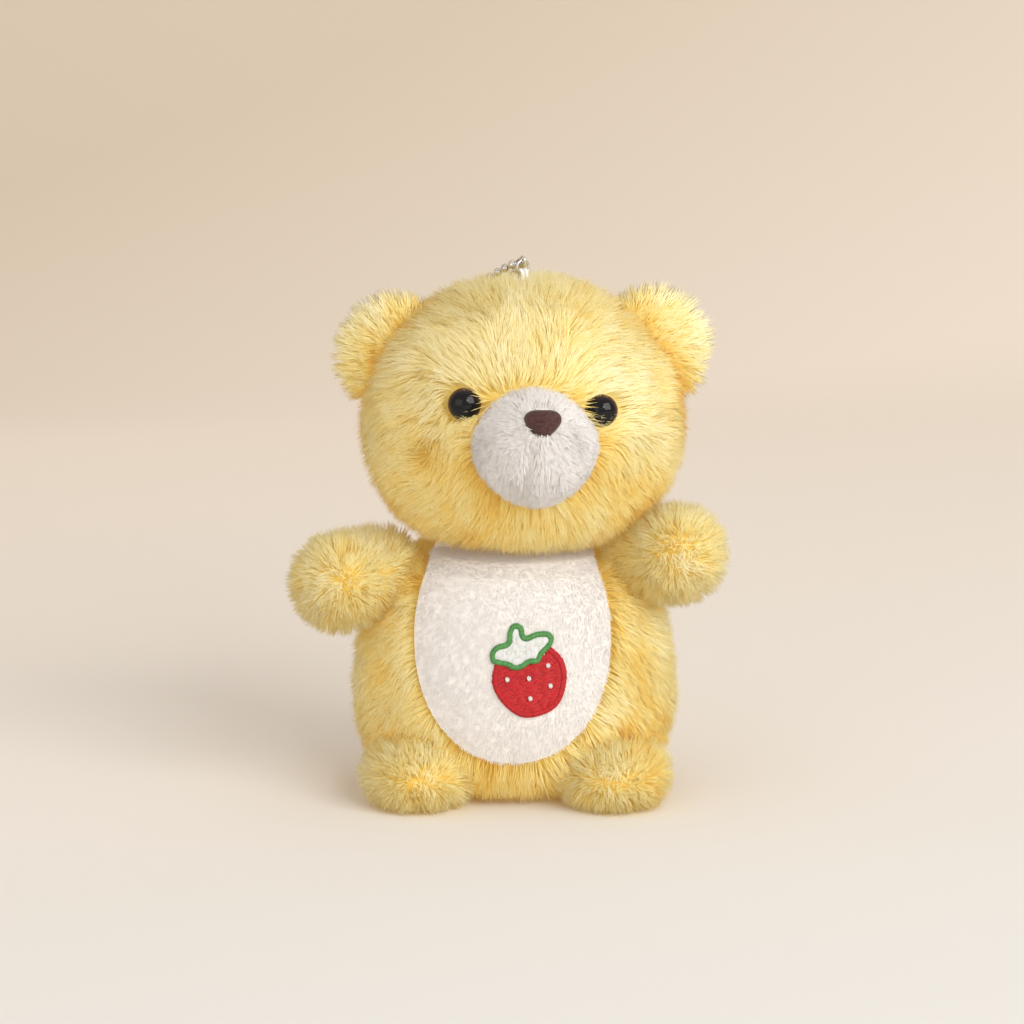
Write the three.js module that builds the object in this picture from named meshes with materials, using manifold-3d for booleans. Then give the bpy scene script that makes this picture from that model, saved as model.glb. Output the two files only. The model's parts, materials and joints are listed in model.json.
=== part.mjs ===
// A plush bear on a bead chain: sewn covers over stuffing, pushed-in eyes and nose,
// an embroidered tummy patch, and a hanging loop with a ring and a closed bead chain.
// Millimetres, +Z up, the bear faces -Y.
import * as THREE from 'three';
import { mergeVertices } from 'three/addons/utils/BufferGeometryUtils.js';
import Module from 'manifold-3d';

const wasm = await Module();
wasm.setup();

// ---- driving dimensions -------------------------------------------------------------

const GAP = 0.3;               // clearance between pieces that touch
const SWING_GAP = 0.5;         // clearance round a piece that moves
const PILE = 4.6;              // thickness of the yellow plush fabric, backing and pile
const PATCH_PILE = 2.6;        // thickness of the short white plush fabric

const HEAD = { x: 1.9, z: 92.4, halfWidth: 38.2, halfDepth: 33, halfHeight: 31.4 };
const NECK = { z: 61.6 };
const BODY = { halfWidth: 38.6, depthShare: 0.79, height: NECK.z - 0.4 };
const SIDE_SEAM_Y = 3;         // the cover's front and back panels meet here

const MUZZLE = {
  x: 4.6, sink: 3.5, z: 89.2, halfWidth: 15, halfDepth: 15.5, halfHeight: 13.2,
};
MUZZLE.y = MUZZLE.sink - HEAD.halfDepth;
const NOSE = {
  x: 6.4, z: 96.8, halfWidth: 4.35, halfHeight: 3.4, bulge: 2.6, sink: 0.6, tipDeg: 17.2,
};
const EYE = { radius: 4.1, bulge: 0.8, stemRadius: 1.3, stemLength: 9, sink: 1.7 };
const EYE_PLACES = { left: { x: -11.8, z: 98.8 }, right: { x: 20.2, z: 97 } };
const WASHER = { radius: 4.6, thickness: 1.2, behind: 2 };

const EAR = { radius: 12.6, thickness: 9.6, root: 3.2, foldDeg: 15 };
// An ear's middle lies this far inside the head's side.
const EARS = {
  left: { inside: 2.06, y: SIDE_SEAM_Y, z: 106.4, leanDeg: 27 },
  right: { inside: 0.18, y: SIDE_SEAM_Y, z: 108.4, leanDeg: 27 },
};

const ARM = { radius: 11.4, upDeg: 16, downDeg: 10 };
// A shoulder's middle lies this far outside the body's side.
const ARMS = {
  left: { outside: 5.74, y: -5, z: 54.2, reachX: -10.5, reachY: -5, reachZ: -1.8 },
  right: { outside: 7.48, y: -5, z: 56.8, reachX: 8.6, reachY: -5.5, reachZ: 3.2 },
};

const FOOT = { halfWidth: 12.9, halfDepth: 16, height: 15.8, centreShare: 0.42, pile: 3.6 };
const FOOT_TUCK = 13.5;          // a foot's middle lies this far inside the body's front
const FOOT_Y = FOOT_TUCK - BODY.halfWidth * BODY.depthShare;
const FEET = { left: { x: -22.4, y: FOOT_Y }, right: { x: 22.8, y: FOOT_Y } };
const SOLE = { thickness: 2.2 };

const PATCH = { x: -0.6, top: 63.5, bottom: 11, halfTop: 17.6, halfWidth: 23.6, wideZ: 42 };
const BERRY = { x: 3.7, z: 32.4, halfWidth: 8.7, halfHeight: 8.8, leanDeg: 16 };
const SEEDS = [[-5.2, 1.7], [-0.2, 0.5], [5, 2.1], [4.2, -2.7], [-1.2, -4.2]];
const LEAF_BORDER = 1.1;
const THREAD = 0.55;           // how far the embroidery stands on the patch

const LOOP = { cord: 1, strandGap: 0.1, knotRadius: 2, knotDepth: 1, standing: 2.2 };
const RING = { radius: 1.6, wire: 0.6 };
const CHAIN = {
  bead: 2.2, pitch: 2.95, pin: 0.6, headingDeg: 118, strandGap: 6.2, topBeads: 3, runBeads: 5,
  lift: 1.6, firstBead: 2.6, firstDrop: 1.2, topLiftDeg: 18, bottomLiftDeg: 120,
};
const CLASP = { wall: 0.4, length: 8.6 };

const COLOURS = {
  plush: '#f0d264', backing: '#e6c34f', white: '#efeae6', fibre: '#f7f5f0', eye: '#1a1311',
  flock: '#4a2320', washer: '#d9d9d4', red: '#c3141f', green: '#2f7d3a', thread: '#f4f1ee',
  cord: '#f5f4f2', metal: '#a9a59c',
};

// ---- solids: closed meshes joined and cut --------------------------------------------

function solid(geometry) {
  const bare = geometry.clone();
  bare.deleteAttribute('normal');
  bare.deleteAttribute('uv');
  const merged = mergeVertices(bare, 1e-4);
  return new wasm.Manifold(new wasm.Mesh({
    numProp: 3,
    vertProperties: new Float32Array(merged.attributes.position.array),
    triVerts: new Uint32Array(merged.index.array),
  }));
}

function geometryOf(shape) {
  const mesh = shape.getMesh();
  const geometry = new THREE.BufferGeometry();
  geometry.setAttribute('position', new THREE.BufferAttribute(mesh.vertProperties, 3));
  geometry.setIndex(new THREE.BufferAttribute(mesh.triVerts, 1));
  geometry.computeVertexNormals();
  return geometry;
}

const FACET = 0.12;             // surface detail finer than this is left flat
const part = new THREE.Group();

// Keeps the largest body of a cut shape, so a sliver left at a seam is dropped.
function largest(shape) {
  return shape.decompose().reduce((best, next) => (next.volume() > best.volume() ? next : best));
}

function add(name, shape, colour, roughness = 0.95, metalness = 0) {
  const kept = largest(shape.simplify(FACET));
  const material = new THREE.MeshStandardMaterial({ color: colour, roughness, metalness });
  const mesh = new THREE.Mesh(geometryOf(kept), material);
  mesh.name = name;
  part.add(mesh);
  return mesh;
}

function placed(geometry, x, y, z) {
  return geometry.translate(x, y, z);
}

function box(low, high) {
  const size = high.map((value, i) => value - low[i]);
  const middle = high.map((value, i) => (value + low[i]) / 2);
  return solid(placed(new THREE.BoxGeometry(...size), ...middle));
}

const FAR = 200;
const leftOf = (x) => box([-FAR, -FAR, -FAR], [x, FAR, FAR]);
const rightOf = (x) => box([x, -FAR, -FAR], [FAR, FAR, FAR]);
const frontOf = (y) => box([-FAR, -FAR, -FAR], [FAR, y, FAR]);
const behind = (y) => box([-FAR, y, -FAR], [FAR, FAR, FAR]);
const above = (z) => box([-FAR, -FAR, z], [FAR, FAR, FAR]);
const below = (z) => box([-FAR, -FAR, -FAR], [FAR, FAR, z]);

function ellipsoid(centre, halfSizes, around = 12, rings = 8, turn = null) {
  const geometry = new THREE.SphereGeometry(1, around, rings).rotateX(Math.PI / 2);
  geometry.scale(...halfSizes);
  if (turn) geometry.applyMatrix4(turn);
  return solid(placed(geometry, ...centre));
}

function cylinder(radius, from, to, sides = 10) {
  const start = new THREE.Vector3(...from);
  const along = new THREE.Vector3(...to).sub(start);
  const geometry = new THREE.CylinderGeometry(radius, radius, along.length(), sides);
  const turn = new THREE.Quaternion().setFromUnitVectors(
    new THREE.Vector3(0, 1, 0), along.clone().normalize());
  geometry.applyQuaternion(turn);
  const middle = start.addScaledVector(along, 0.5);
  return solid(placed(geometry, middle.x, middle.y, middle.z));
}

// A closed form skinned over rings of points, each ring with as many points as the next.
function skinned(rows) {
  const around = rows[0].length;
  const middle = (row) => row.reduce((sum, point) => sum.add(point), new THREE.Vector3())
    .divideScalar(around);
  const points = [...rows.flat(), middle(rows[0]), middle(rows[rows.length - 1])];
  const bottom = points.length - 2;
  const top = points.length - 1;
  const lastRow = (rows.length - 1) * around;
  const index = [];
  for (let i = 0; i < around; i += 1) {
    const next = (i + 1) % around;
    for (let row = 0; row < rows.length - 1; row += 1) {
      const a = row * around + i;
      const b = row * around + next;
      index.push(a, b, b + around, a, b + around, a + around);
    }
    index.push(bottom, next, i, top, lastRow + i, lastRow + next);
  }
  const geometry = new THREE.BufferGeometry().setFromPoints(points);
  geometry.setIndex(index);
  return solid(geometry);
}

// Level oval rings [z, half width, half depth]; the first and last are flat ends.
function ringed(rings, around, x = 0, y = 0) {
  return skinned(rings.map(([z, halfWidth, halfDepth]) => Array.from({ length: around }, (_, i) => {
    const angle = (i / around) * 2 * Math.PI;
    return new THREE.Vector3(
      x + halfWidth * Math.cos(angle), y + halfDepth * Math.sin(angle), z);
  })));
}

// Round rings across a way in space: each station is { at, radius }.
function swept(stations, sides) {
  const side = new THREE.Vector3();
  const rows = stations.map(({ at, radius }, i) => {
    const before = stations[Math.max(i - 1, 0)].at;
    const after = stations[Math.min(i + 1, stations.length - 1)].at;
    const along = after.clone().sub(before).normalize();
    if (i === 0) side.set(along.z, along.x, along.y).cross(along).normalize();
    side.addScaledVector(along, -side.dot(along)).normalize();
    const other = along.clone().cross(side);
    return Array.from({ length: sides }, (_, k) => {
      const angle = (k / sides) * 2 * Math.PI;
      return at.clone().addScaledVector(side, radius * Math.cos(angle))
        .addScaledVector(other, radius * Math.sin(angle));
    });
  });
  return skinned(rows);
}

// A prism along Y through an outline in X and Z.
function prism(outline, fromY = -FAR, toY = 0) {
  const shape = new THREE.Shape(outline.map(([x, z]) => new THREE.Vector2(x, z)));
  const geometry = new THREE.ExtrudeGeometry(shape, { depth: toY - fromY, bevelEnabled: false });
  geometry.rotateX(Math.PI / 2);
  return solid(geometry.translate(0, toY, 0));
}

function smoothOutline(points, count) {
  const vectors = points.map(([x, z]) => new THREE.Vector3(x, 0, z));
  const curve = new THREE.CatmullRomCurve3(vectors, true, 'centripetal');
  return curve.getPoints(count).slice(0, -1).map((point) => [point.x, point.z]);
}

// ---- head -----------------------------------------------------------------------------

const HEAD_AROUND = 20;
const HEAD_RINGS = 10;
const LINING_SHARE = 0.6;      // the hidden inner surfaces need fewer facets
const SQUARENESS = 0.9;        // under 1 makes the cheeks fuller than an ellipsoid's
const CROWN_TAPER = 0.055;     // and the crown a little narrower

// Share of the head's half width at a height from -1, the chin, to 1, the crown.
function headReach(lift) {
  const reach = Math.max(Math.sqrt(1 - lift * lift), 0.06) ** SQUARENESS;
  return reach * (1 - CROWN_TAPER * Math.max(lift + 0.2, 0));
}

for (const [side, place] of Object.entries(EARS)) {
  const reach = HEAD.halfWidth * headReach((place.z - HEAD.z) / HEAD.halfHeight) - place.inside;
  place.x = HEAD.x + (side === 'left' ? -reach : reach);
}

function headForm(inset) {
  const rings = [];
  const detail = inset > 0 ? LINING_SHARE : 1;
  const levels = HEAD_RINGS * detail;
  for (let i = 0; i <= levels; i += 1) {
    const lift = -Math.cos((i / levels) * Math.PI);
    const share = headReach(lift);
    rings.push([
      HEAD.z + (HEAD.halfHeight - inset) * lift,
      (HEAD.halfWidth - inset) * share,
      (HEAD.halfDepth - inset) * share,
    ]);
  }
  return ringed(rings, HEAD_AROUND * detail, HEAD.x, 0);
}

const headOuter = headForm(0);
const headInner = headForm(PILE);
const headStuffingForm = headForm(PILE + GAP);

// How far forward a form's surface stands at (x, z).
function faceY(form, x, z) {
  const probe = cylinder(0.2, [x, -FAR / 2, z], [x, 0, z], 6).intersect(form);
  return probe.boundingBox().min[1];
}

function muzzleForm(inset) {
  return ellipsoid([MUZZLE.x, MUZZLE.y, MUZZLE.z],
    [MUZZLE.halfWidth - inset, MUZZLE.halfDepth - inset, MUZZLE.halfHeight - inset], 14, 8);
}

// A pushed-in part: its face on the cover, its stem through it, and the space they need.
// The washer that locks the stem is pressed to the lining's shape.
function stemmed(place, coverY, faceShape, washerY, lining) {
  const end = coverY + EYE.stemLength;
  const grown = GAP;
  const stem = cylinder(EYE.stemRadius, [place.x, coverY, place.z], [place.x, end, place.z], 6);
  const bore = cylinder(EYE.stemRadius + grown, [place.x, coverY, place.z],
    [place.x, end + grown, place.z], 6);
  const washer = cylinder(WASHER.radius, [place.x, washerY, place.z],
    [place.x, washerY + WASHER.thickness, place.z]).subtract(bore).intersect(lining);
  const pocket = cylinder(WASHER.radius + grown, [place.x, washerY - grown, place.z],
    [place.x, washerY + WASHER.thickness + grown, place.z]);
  return { piece: faceShape.add(stem), bore, washer, pocket };
}

const eyes = Object.entries(EYE_PLACES).map(([side, place]) => {
  const surface = faceY(headOuter, place.x, place.z);
  const centre = [place.x, surface + EYE.sink, place.z];
  const dome = ellipsoid(centre, [EYE.radius, EYE.radius * EYE.bulge, EYE.radius]);
  const room = EYE.radius + GAP;
  const socket = ellipsoid(centre, [room, room * EYE.bulge, room]);
  const washerY = faceY(headInner, place.x, place.z) + WASHER.behind;
  return { side, ...stemmed(place, surface + EYE.sink, dome, washerY, headStuffingForm), socket };
});

const noseSurface = faceY(muzzleForm(0), NOSE.x, NOSE.z);
const noseTurn = new THREE.Matrix4().makeRotationX(THREE.MathUtils.degToRad(NOSE.tipDeg));
const noseCentre = [NOSE.x, noseSurface + NOSE.sink, NOSE.z];
const noseShape = (grow) => ellipsoid(noseCentre,
  [NOSE.halfWidth + grow, NOSE.bulge + grow, NOSE.halfHeight + grow], 10, 6, noseTurn);
const muzzleLining = muzzleForm(PATCH_PILE + GAP);
const noseWasherY = faceY(muzzleLining, NOSE.x, NOSE.z) + WASHER.behind;
const nose = stemmed(NOSE, noseSurface, noseShape(0), noseWasherY, muzzleLining);

// Ears: flat round pads cut straight along the seam they fold on.
function earForm(place, side, grow, foldDeg) {
  const lean = THREE.MathUtils.degToRad(place.leanDeg);
  const out = side === 'left' ? [-Math.cos(lean), Math.sin(lean)] : [Math.cos(lean), Math.sin(lean)];
  const radius = EAR.radius + grow;
  const half = EAR.thickness / 2 + grow;
  const pad = ellipsoid([0, 0, 0], [radius, half, radius], 14, 8);
  const cut = box([-FAR, -FAR, -EAR.root - grow], [FAR, FAR, FAR]);
  const angle = THREE.MathUtils.radToDeg(Math.atan2(out[0], out[1]));
  return pad.intersect(cut).rotate([foldDeg, 0, 0]).rotate([0, angle, 0])
    .translate([place.x, place.y, place.z]);
}

function sweptEar(place, side) {
  const turns = [-EAR.foldDeg, 0, EAR.foldDeg];
  return turns.map((turn) => earForm(place, side, SWING_GAP, turn)).reduce((a, b) => a.add(b));
}

const earRooms = Object.entries(EARS).map(([side, place]) => sweptEar(place, side));

// The loop's knot turns in a round pocket in the crown.
const crownZ = HEAD.z + HEAD.halfHeight;
const loopPivot = [HEAD.x, 0, crownZ - LOOP.knotDepth];
const knotRoom = ellipsoid(loopPivot, Array(3).fill(LOOP.knotRadius + SWING_GAP));
const neckCut = below(NECK.z + GAP / 2);
const headHollows = [...earRooms, knotRoom, neckCut].reduce((a, b) => a.add(b));

const muzzleRoom = muzzleForm(-GAP);
const headCover = headOuter.subtract(headInner).subtract(headHollows).subtract(muzzleRoom)
  .subtract(eyes.reduce((all, eye) => all.add(eye.socket).add(eye.bore), nose.bore));
const half = GAP / 2;
const SIDES = {
  left: (x) => leftOf(x - half),
  right: (x) => rightOf(x + half),
};
for (const [side, region] of Object.entries(SIDES)) {
  const panel = headCover.intersect(region(HEAD.x));
  add(`head_front_${side}`, panel.intersect(frontOf(SIDE_SEAM_Y - half)), COLOURS.plush);
  add(`head_back_${side}`, panel.intersect(behind(SIDE_SEAM_Y + half)), COLOURS.plush);
}

const muzzleCover = muzzleForm(0).subtract(muzzleForm(PATCH_PILE)).subtract(headInner)
  .subtract(eyes.reduce((all, eye) => all.add(eye.socket).add(eye.bore), noseShape(GAP)))
  .subtract(nose.bore);
for (const [side, region] of Object.entries(SIDES)) {
  add(`muzzle_${side}`, muzzleCover.intersect(region(MUZZLE.x)), COLOURS.white);
}

const stuffingCuts = [nose, ...eyes].reduce((all, one) => all.add(one.bore).add(one.pocket),
  eyes.reduce((all, eye) => all.add(eye.socket), headHollows.add(noseShape(GAP))));
add('head_stuffing', headStuffingForm.add(muzzleLining).subtract(stuffingCuts),
  COLOURS.fibre);

for (const eye of eyes) {
  add(`eye_${eye.side}`, eye.piece, COLOURS.eye, 0.12);
  add(`eye_washer_${eye.side}`, eye.washer, COLOURS.washer, 0.5);
}
add('nose', nose.piece, COLOURS.flock, 0.98);
add('nose_washer', nose.washer, COLOURS.washer, 0.5);

for (const [side, place] of Object.entries(EARS)) {
  const ear = earForm(place, side, 0, 0);
  add(`ear_${side}_front`, ear.intersect(frontOf(place.y - half)), COLOURS.plush);
  add(`ear_${side}_back`, ear.intersect(behind(place.y + half)), COLOURS.plush);
}

// ---- body -----------------------------------------------------------------------------

const BODY_AROUND = 22;
// Share of the body's height and of its half width, from the seat to the neck.
const BODY_PROFILE = [
  [0, 0.6], [0.06, 0.8], [0.16, 0.94], [0.32, 1], [0.5, 0.99], [0.66, 0.93], [0.8, 0.81],
  [0.92, 0.61], [1, 0.4],
];

function bodyForm(inset) {
  const rings = BODY_PROFILE.map(([lift, share]) => {
    const z = THREE.MathUtils.lerp(inset, BODY.height - inset, lift);
    const reach = BODY.halfWidth * share - inset;
    return [z, reach, BODY.halfWidth * BODY.depthShare * share - inset];
  });
  return ringed(rings, inset > PILE / 2 ? Math.round(BODY_AROUND * LINING_SHARE) : BODY_AROUND);
}

// Half the body's width at a height.
function bodyReach(z) {
  const lift = z / BODY.height;
  const next = BODY_PROFILE.findIndex(([level]) => level >= lift);
  const [lowLift, lowShare] = BODY_PROFILE[next - 1];
  const [highLift, highShare] = BODY_PROFILE[next];
  const along = (lift - lowLift) / (highLift - lowLift);
  return BODY.halfWidth * THREE.MathUtils.lerp(lowShare, highShare, along);
}

for (const [side, place] of Object.entries(ARMS)) {
  const reach = bodyReach(place.z) + place.outside;
  place.x = side === 'left' ? -reach : reach;
}

// Arms: a shoulder ball that turns in its pocket, and the stub that it carries.
const SHOULDER_SHARE = 0.84;
const CAP_STEPS = 3;

function armForm(place, side, grow, liftDeg) {
  const turn = side === 'left' ? liftDeg : -liftDeg;
  const reach = new THREE.Vector3(place.reachX, place.reachY, place.reachZ);
  const along = reach.clone().normalize();
  const ends = [[0, ARM.radius * SHOULDER_SHARE + grow], [reach.length(), ARM.radius + grow]];
  const stations = ends.flatMap(([middle, radius], end) => {
    const cap = Array.from({ length: CAP_STEPS + 1 }, (_, i) => {
      const angle = (end === 0 ? i - CAP_STEPS : i) * (Math.PI / 2 / CAP_STEPS);
      const safe = Math.max(Math.cos(angle), 0.1) * radius;
      return { at: along.clone().multiplyScalar(middle + radius * Math.sin(angle)), radius: safe };
    });
    return cap;
  });
  return swept(stations, 12).rotate([0, turn, 0]).translate([place.x, place.y, place.z]);
}

function sweptArm(place, side) {
  const turns = [-ARM.downDeg, 0, ARM.upDeg];
  return turns.map((turn) => armForm(place, side, SWING_GAP, turn)).reduce((a, b) => a.add(b));
}

const armRooms = Object.entries(ARMS).map(([side, place]) => sweptArm(place, side))
  .reduce((a, b) => a.add(b));

const bodyOuter = bodyForm(0);
const bodyInner = bodyForm(PILE);

// The patch's outline: straight at the top, widest above the middle, round at the bottom.
function patchOutline(grow) {
  const { halfTop, halfWidth, wideZ } = PATCH;
  const top = PATCH.top + grow;
  const bottom = PATCH.bottom - grow;
  const side = [[halfTop, top], [halfTop + 3.6, wideZ + 12], [halfWidth, wideZ]];
  const points = side.map(([x, z]) => [x + grow, z]);
  const arcSteps = 8;
  for (let i = 1; i <= arcSteps; i += 1) {
    const angle = (i / arcSteps) * (Math.PI / 2);
    points.push([(halfWidth + grow) * Math.cos(angle) ** 0.9,
      wideZ - (wideZ - bottom) * Math.sin(angle)]);
  }
  const mirrored = points.slice(0, -1).reverse().map(([x, z]) => [-x, z]);
  return [...points, ...mirrored].map(([x, z]) => [x + PATCH.x, z]);
}

// The oval panel that the bear sits on.
function seatForm(grow) {
  const reach = BODY.halfWidth * BODY_PROFILE[0][1] - 1 + grow;
  const rings = [-1, PILE + grow].map((z) => [z, reach, reach * BODY.depthShare]);
  return ringed(rings, BODY_AROUND);
}

const bodyCover = bodyOuter.subtract(bodyInner).subtract(armRooms)
  .subtract(prism(patchOutline(half))).subtract(seatForm(GAP));
for (const [side, region] of Object.entries(SIDES)) {
  const panel = bodyCover.intersect(region(0));
  add(`body_front_${side}`, panel.intersect(frontOf(SIDE_SEAM_Y - half)), COLOURS.plush);
  add(`body_back_${side}`, panel.intersect(behind(SIDE_SEAM_Y + half)), COLOURS.plush);
}
add('body_base', bodyOuter.intersect(seatForm(0)).intersect(below(PILE)), COLOURS.plush);

const patchSink = PILE - PATCH_PILE;
const patchFace = bodyForm(patchSink);
const patchShell = patchFace.subtract(bodyInner).subtract(armRooms).subtract(seatForm(GAP));
add('tummy_patch', patchShell.intersect(prism(patchOutline(-half))), COLOURS.white);
add('body_stuffing', bodyForm(PILE + GAP).subtract(armRooms), COLOURS.fibre);

for (const [side, place] of Object.entries(ARMS)) {
  const arm = armForm(place, side, 0, 0);
  const shell = arm.subtract(armForm(place, side, -PILE, 0));
  const seamY = place.y + place.reachY / 2;
  add(`arm_${side}_front`, shell.intersect(frontOf(seamY - half)), COLOURS.plush);
  add(`arm_${side}_back`, shell.intersect(behind(seamY + half)), COLOURS.plush);
  add(`arm_${side}_stuffing`, armForm(place, side, -PILE - GAP, 0), COLOURS.fibre);
}

// Feet: low round pads sewn to the front of the body, each on its own flat sole.
function footForm(place, inset) {
  const halfHeight = FOOT.height * (1 - FOOT.centreShare) - inset;
  const centre = [place.x, place.y, FOOT.height * FOOT.centreShare];
  return ellipsoid(centre, [FOOT.halfWidth - inset, FOOT.halfDepth - inset, halfHeight], 14, 8)
    .intersect(above(inset));
}

const bodyRoom = bodyForm(-GAP);
for (const [side, place] of Object.entries(FEET)) {
  const outer = footForm(place, 0).subtract(bodyRoom);
  const shell = outer.subtract(footForm(place, FOOT.pile));
  add(`foot_${side}_upper`, shell.intersect(above(SOLE.thickness + half)), COLOURS.plush);
  add(`foot_${side}_sole`, outer.intersect(below(SOLE.thickness - half)), COLOURS.plush);
  add(`foot_${side}_stuffing`, footForm(place, FOOT.pile + GAP).subtract(bodyForm(-2 * GAP)),
    COLOURS.fibre);
}

// ---- embroidery -------------------------------------------------------------------------

function leaned(points) {
  const angle = THREE.MathUtils.degToRad(BERRY.leanDeg);
  return points.map(([x, z]) => [
    BERRY.x + x * Math.cos(angle) - z * Math.sin(angle),
    BERRY.z + x * Math.sin(angle) + z * Math.cos(angle),
  ]);
}

// A raised layer of thread over the patch, inside an outline.
function threadLayer(outline, low, high) {
  return bodyForm(patchSink - high).subtract(bodyForm(patchSink - low)).intersect(prism(outline));
}

function berryOutline(grow) {
  const { halfWidth, halfHeight } = BERRY;
  const shape = [[0, -1], [0.55, -0.86], [0.93, -0.3], [0.98, 0.3], [0.6, 0.85], [0, 0.98],
    [-0.6, 0.85], [-0.98, 0.3], [-0.93, -0.3], [-0.55, -0.86]];
  const points = shape.map(([x, z]) => [x * (halfWidth + grow), z * (halfHeight + grow)]);
  return leaned(smoothOutline(points, 18));
}

// Four leaves and the stalk that stands between them.
function leafOutline(grow) {
  const shape = [[-7.6, 6.6], [-7.3, 8.8], [-5.4, 10.1], [-2.9, 10.2], [-2, 12.2], [-0.6, 13.7],
    [1.1, 13.5], [1.8, 12.2], [1.8, 10.3], [4.6, 10.4], [7.4, 9.5], [8, 7.6], [6.6, 6],
    [4.6, 5], [3.2, 3.4], [1, 3.8], [-1, 3.2], [-2.9, 3.4], [-4.4, 4.7], [-6.4, 5.7]];
  const middle = [0, 7.2];
  const points = shape.map(([x, z]) => {
    const away = Math.hypot(x - middle[0], z - middle[1]);
    const share = (away + grow) / away;
    return [middle[0] + (x - middle[0]) * share, middle[1] + (z - middle[1]) * share];
  });
  return leaned(smoothOutline(points, 26));
}

const layerLow = GAP;
const layerHigh = GAP + THREAD;
add('berry', threadLayer(berryOutline(0), layerLow, layerHigh)
  .subtract(prism(leafOutline(GAP))), COLOURS.red, 0.7);
add('berry_leaf_border', threadLayer(leafOutline(0), layerLow, layerHigh)
  .subtract(prism(leafOutline(-LEAF_BORDER))), COLOURS.green, 0.7);
add('berry_leaf_fill', threadLayer(leafOutline(-LEAF_BORDER - GAP), layerLow, layerHigh),
  COLOURS.thread, 0.8);
SEEDS.forEach(([x, z], i) => {
  const seed = [[0, 0.9], [0.5, 0], [0, -0.9], [-0.5, 0]].map(([dx, dz]) => [x + dx, z + dz]);
  add(`berry_seed_${i + 1}`, threadLayer(leaned(seed), layerHigh + GAP, layerHigh + GAP + THREAD),
    COLOURS.thread, 0.8);
});

// ---- hanging loop, ring and chain -------------------------------------------------------
// Built facing +Y along the way the chain trails, then turned to its heading on the crown.

const headingTurn = CHAIN.headingDeg - 90;
const onCrown = (shape) => shape.rotate([0, 0, headingTurn]).translate([HEAD.x, 0, 0]);

function tube(points, radius, sides, steps) {
  const path = new THREE.CatmullRomCurve3(points.map((point) => new THREE.Vector3(...point)),
    false, 'centripetal');
  const corner = (i) => new THREE.Vector2(
    radius * Math.cos((i / sides) * 2 * Math.PI), radius * Math.sin((i / sides) * 2 * Math.PI));
  const section = new THREE.Shape(Array.from({ length: sides }, (_, i) => corner(i)));
  return solid(new THREE.ExtrudeGeometry(section, { extrudePath: path, steps }));
}

const cordRadius = LOOP.cord / 2;
const wireRadius = RING.wire / 2;
const bendRadius = cordRadius + wireRadius + GAP;
const bendZ = crownZ + LOOP.standing;
const knotZ = crownZ - LOOP.knotDepth;

function strand(x) {
  const points = [[x, -cordRadius, knotZ], [x, -bendRadius, (knotZ + bendZ) / 2]];
  const arcSteps = 6;
  for (let i = 0; i <= arcSteps; i += 1) {
    const angle = Math.PI * (1 - i / arcSteps);
    points.push([x, bendRadius * Math.cos(angle), bendZ + bendRadius * Math.sin(angle)]);
  }
  points.push([x, bendRadius, (knotZ + bendZ) / 2], [x, cordRadius, knotZ]);
  return tube(points, cordRadius, 6, 12);
}

const strandX = cordRadius + LOOP.strandGap / 2;
const knot = ellipsoid([0, 0, knotZ], Array(3).fill(LOOP.knotRadius), 10, 6);
add('hang_loop', onCrown(knot.add(strand(-strandX)).add(strand(strandX))), COLOURS.cord, 0.8);

const ringZ = bendZ + RING.radius;
const ringTop = ringZ + RING.radius;
const ringShape = new THREE.TorusGeometry(RING.radius, wireRadius, 6, 16).rotateX(Math.PI / 2);
ringShape.translate(0, 0, ringZ);
add('ring', onCrown(solid(ringShape)), COLOURS.metal, 0.3, 1);

// The way the chain lies: off the ring, down to the plush and on down the back of the head.
const beadRadius = CHAIN.bead / 2;
const heading = THREE.MathUtils.degToRad(CHAIN.headingDeg);

// How far the oval of the head's cover reaches along the chain's heading, anywhere across the
// length of the clasp.
function reachBack(share) {
  const width = HEAD.halfWidth * share;
  const depth = HEAD.halfDepth * share;
  const along = [Math.cos(heading), Math.sin(heading)];
  const across = [Math.sin(heading), -Math.cos(heading)];
  const reaches = [-CLASP.length / 2, 0, CLASP.length / 2].map((side) => {
    const a = (along[0] / width) ** 2 + (along[1] / depth) ** 2;
    const b = side * ((along[0] * across[0]) / width ** 2 + (along[1] * across[1]) / depth ** 2);
    const c = side ** 2 * ((across[0] / width) ** 2 + (across[1] / depth) ** 2) - 1;
    return (-b + Math.sqrt(b * b - a * c)) / a;
  });
  return Math.max(...reaches);
}

const WAY_STEPS = 12;
const wayPoints = [new THREE.Vector3(0, CHAIN.firstBead, ringTop - CHAIN.firstDrop)];
for (let i = 0; i <= WAY_STEPS; i += 1) {
  const liftDeg = THREE.MathUtils.lerp(CHAIN.topLiftDeg, CHAIN.bottomLiftDeg, i / WAY_STEPS);
  const lift = Math.cos(THREE.MathUtils.degToRad(liftDeg));
  const back = reachBack(headReach(lift));
  const slope = Math.atan2(Math.sqrt(1 - lift * lift) / reachBack(1), lift / HEAD.halfHeight);
  wayPoints.push(new THREE.Vector3(0, back + CHAIN.lift * Math.sin(slope),
    HEAD.z + HEAD.halfHeight * lift + CHAIN.lift * Math.cos(slope)));
}
const way = new THREE.CatmullRomCurve3(wayPoints, false, 'centripetal');
const wayLength = way.getLength();
const CHAIN_RUNS = 3;
const perStrand = CHAIN.topBeads + CHAIN_RUNS * CHAIN.runBeads;

function beadCentre(count, sign) {
  const point = way.getPointAt((count * CHAIN.pitch) / wayLength);
  const narrow = beadRadius + GAP;
  const spread = Math.min(count / CHAIN.topBeads, 1);
  const across = narrow + (CHAIN.strandGap / 2 - narrow) * spread;
  return [sign * across, point.y, point.z];
}

const BEAD_STATIONS = [-0.96, -0.6, 0, 0.6, 0.96];   // where a bead is measured, in radii

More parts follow.
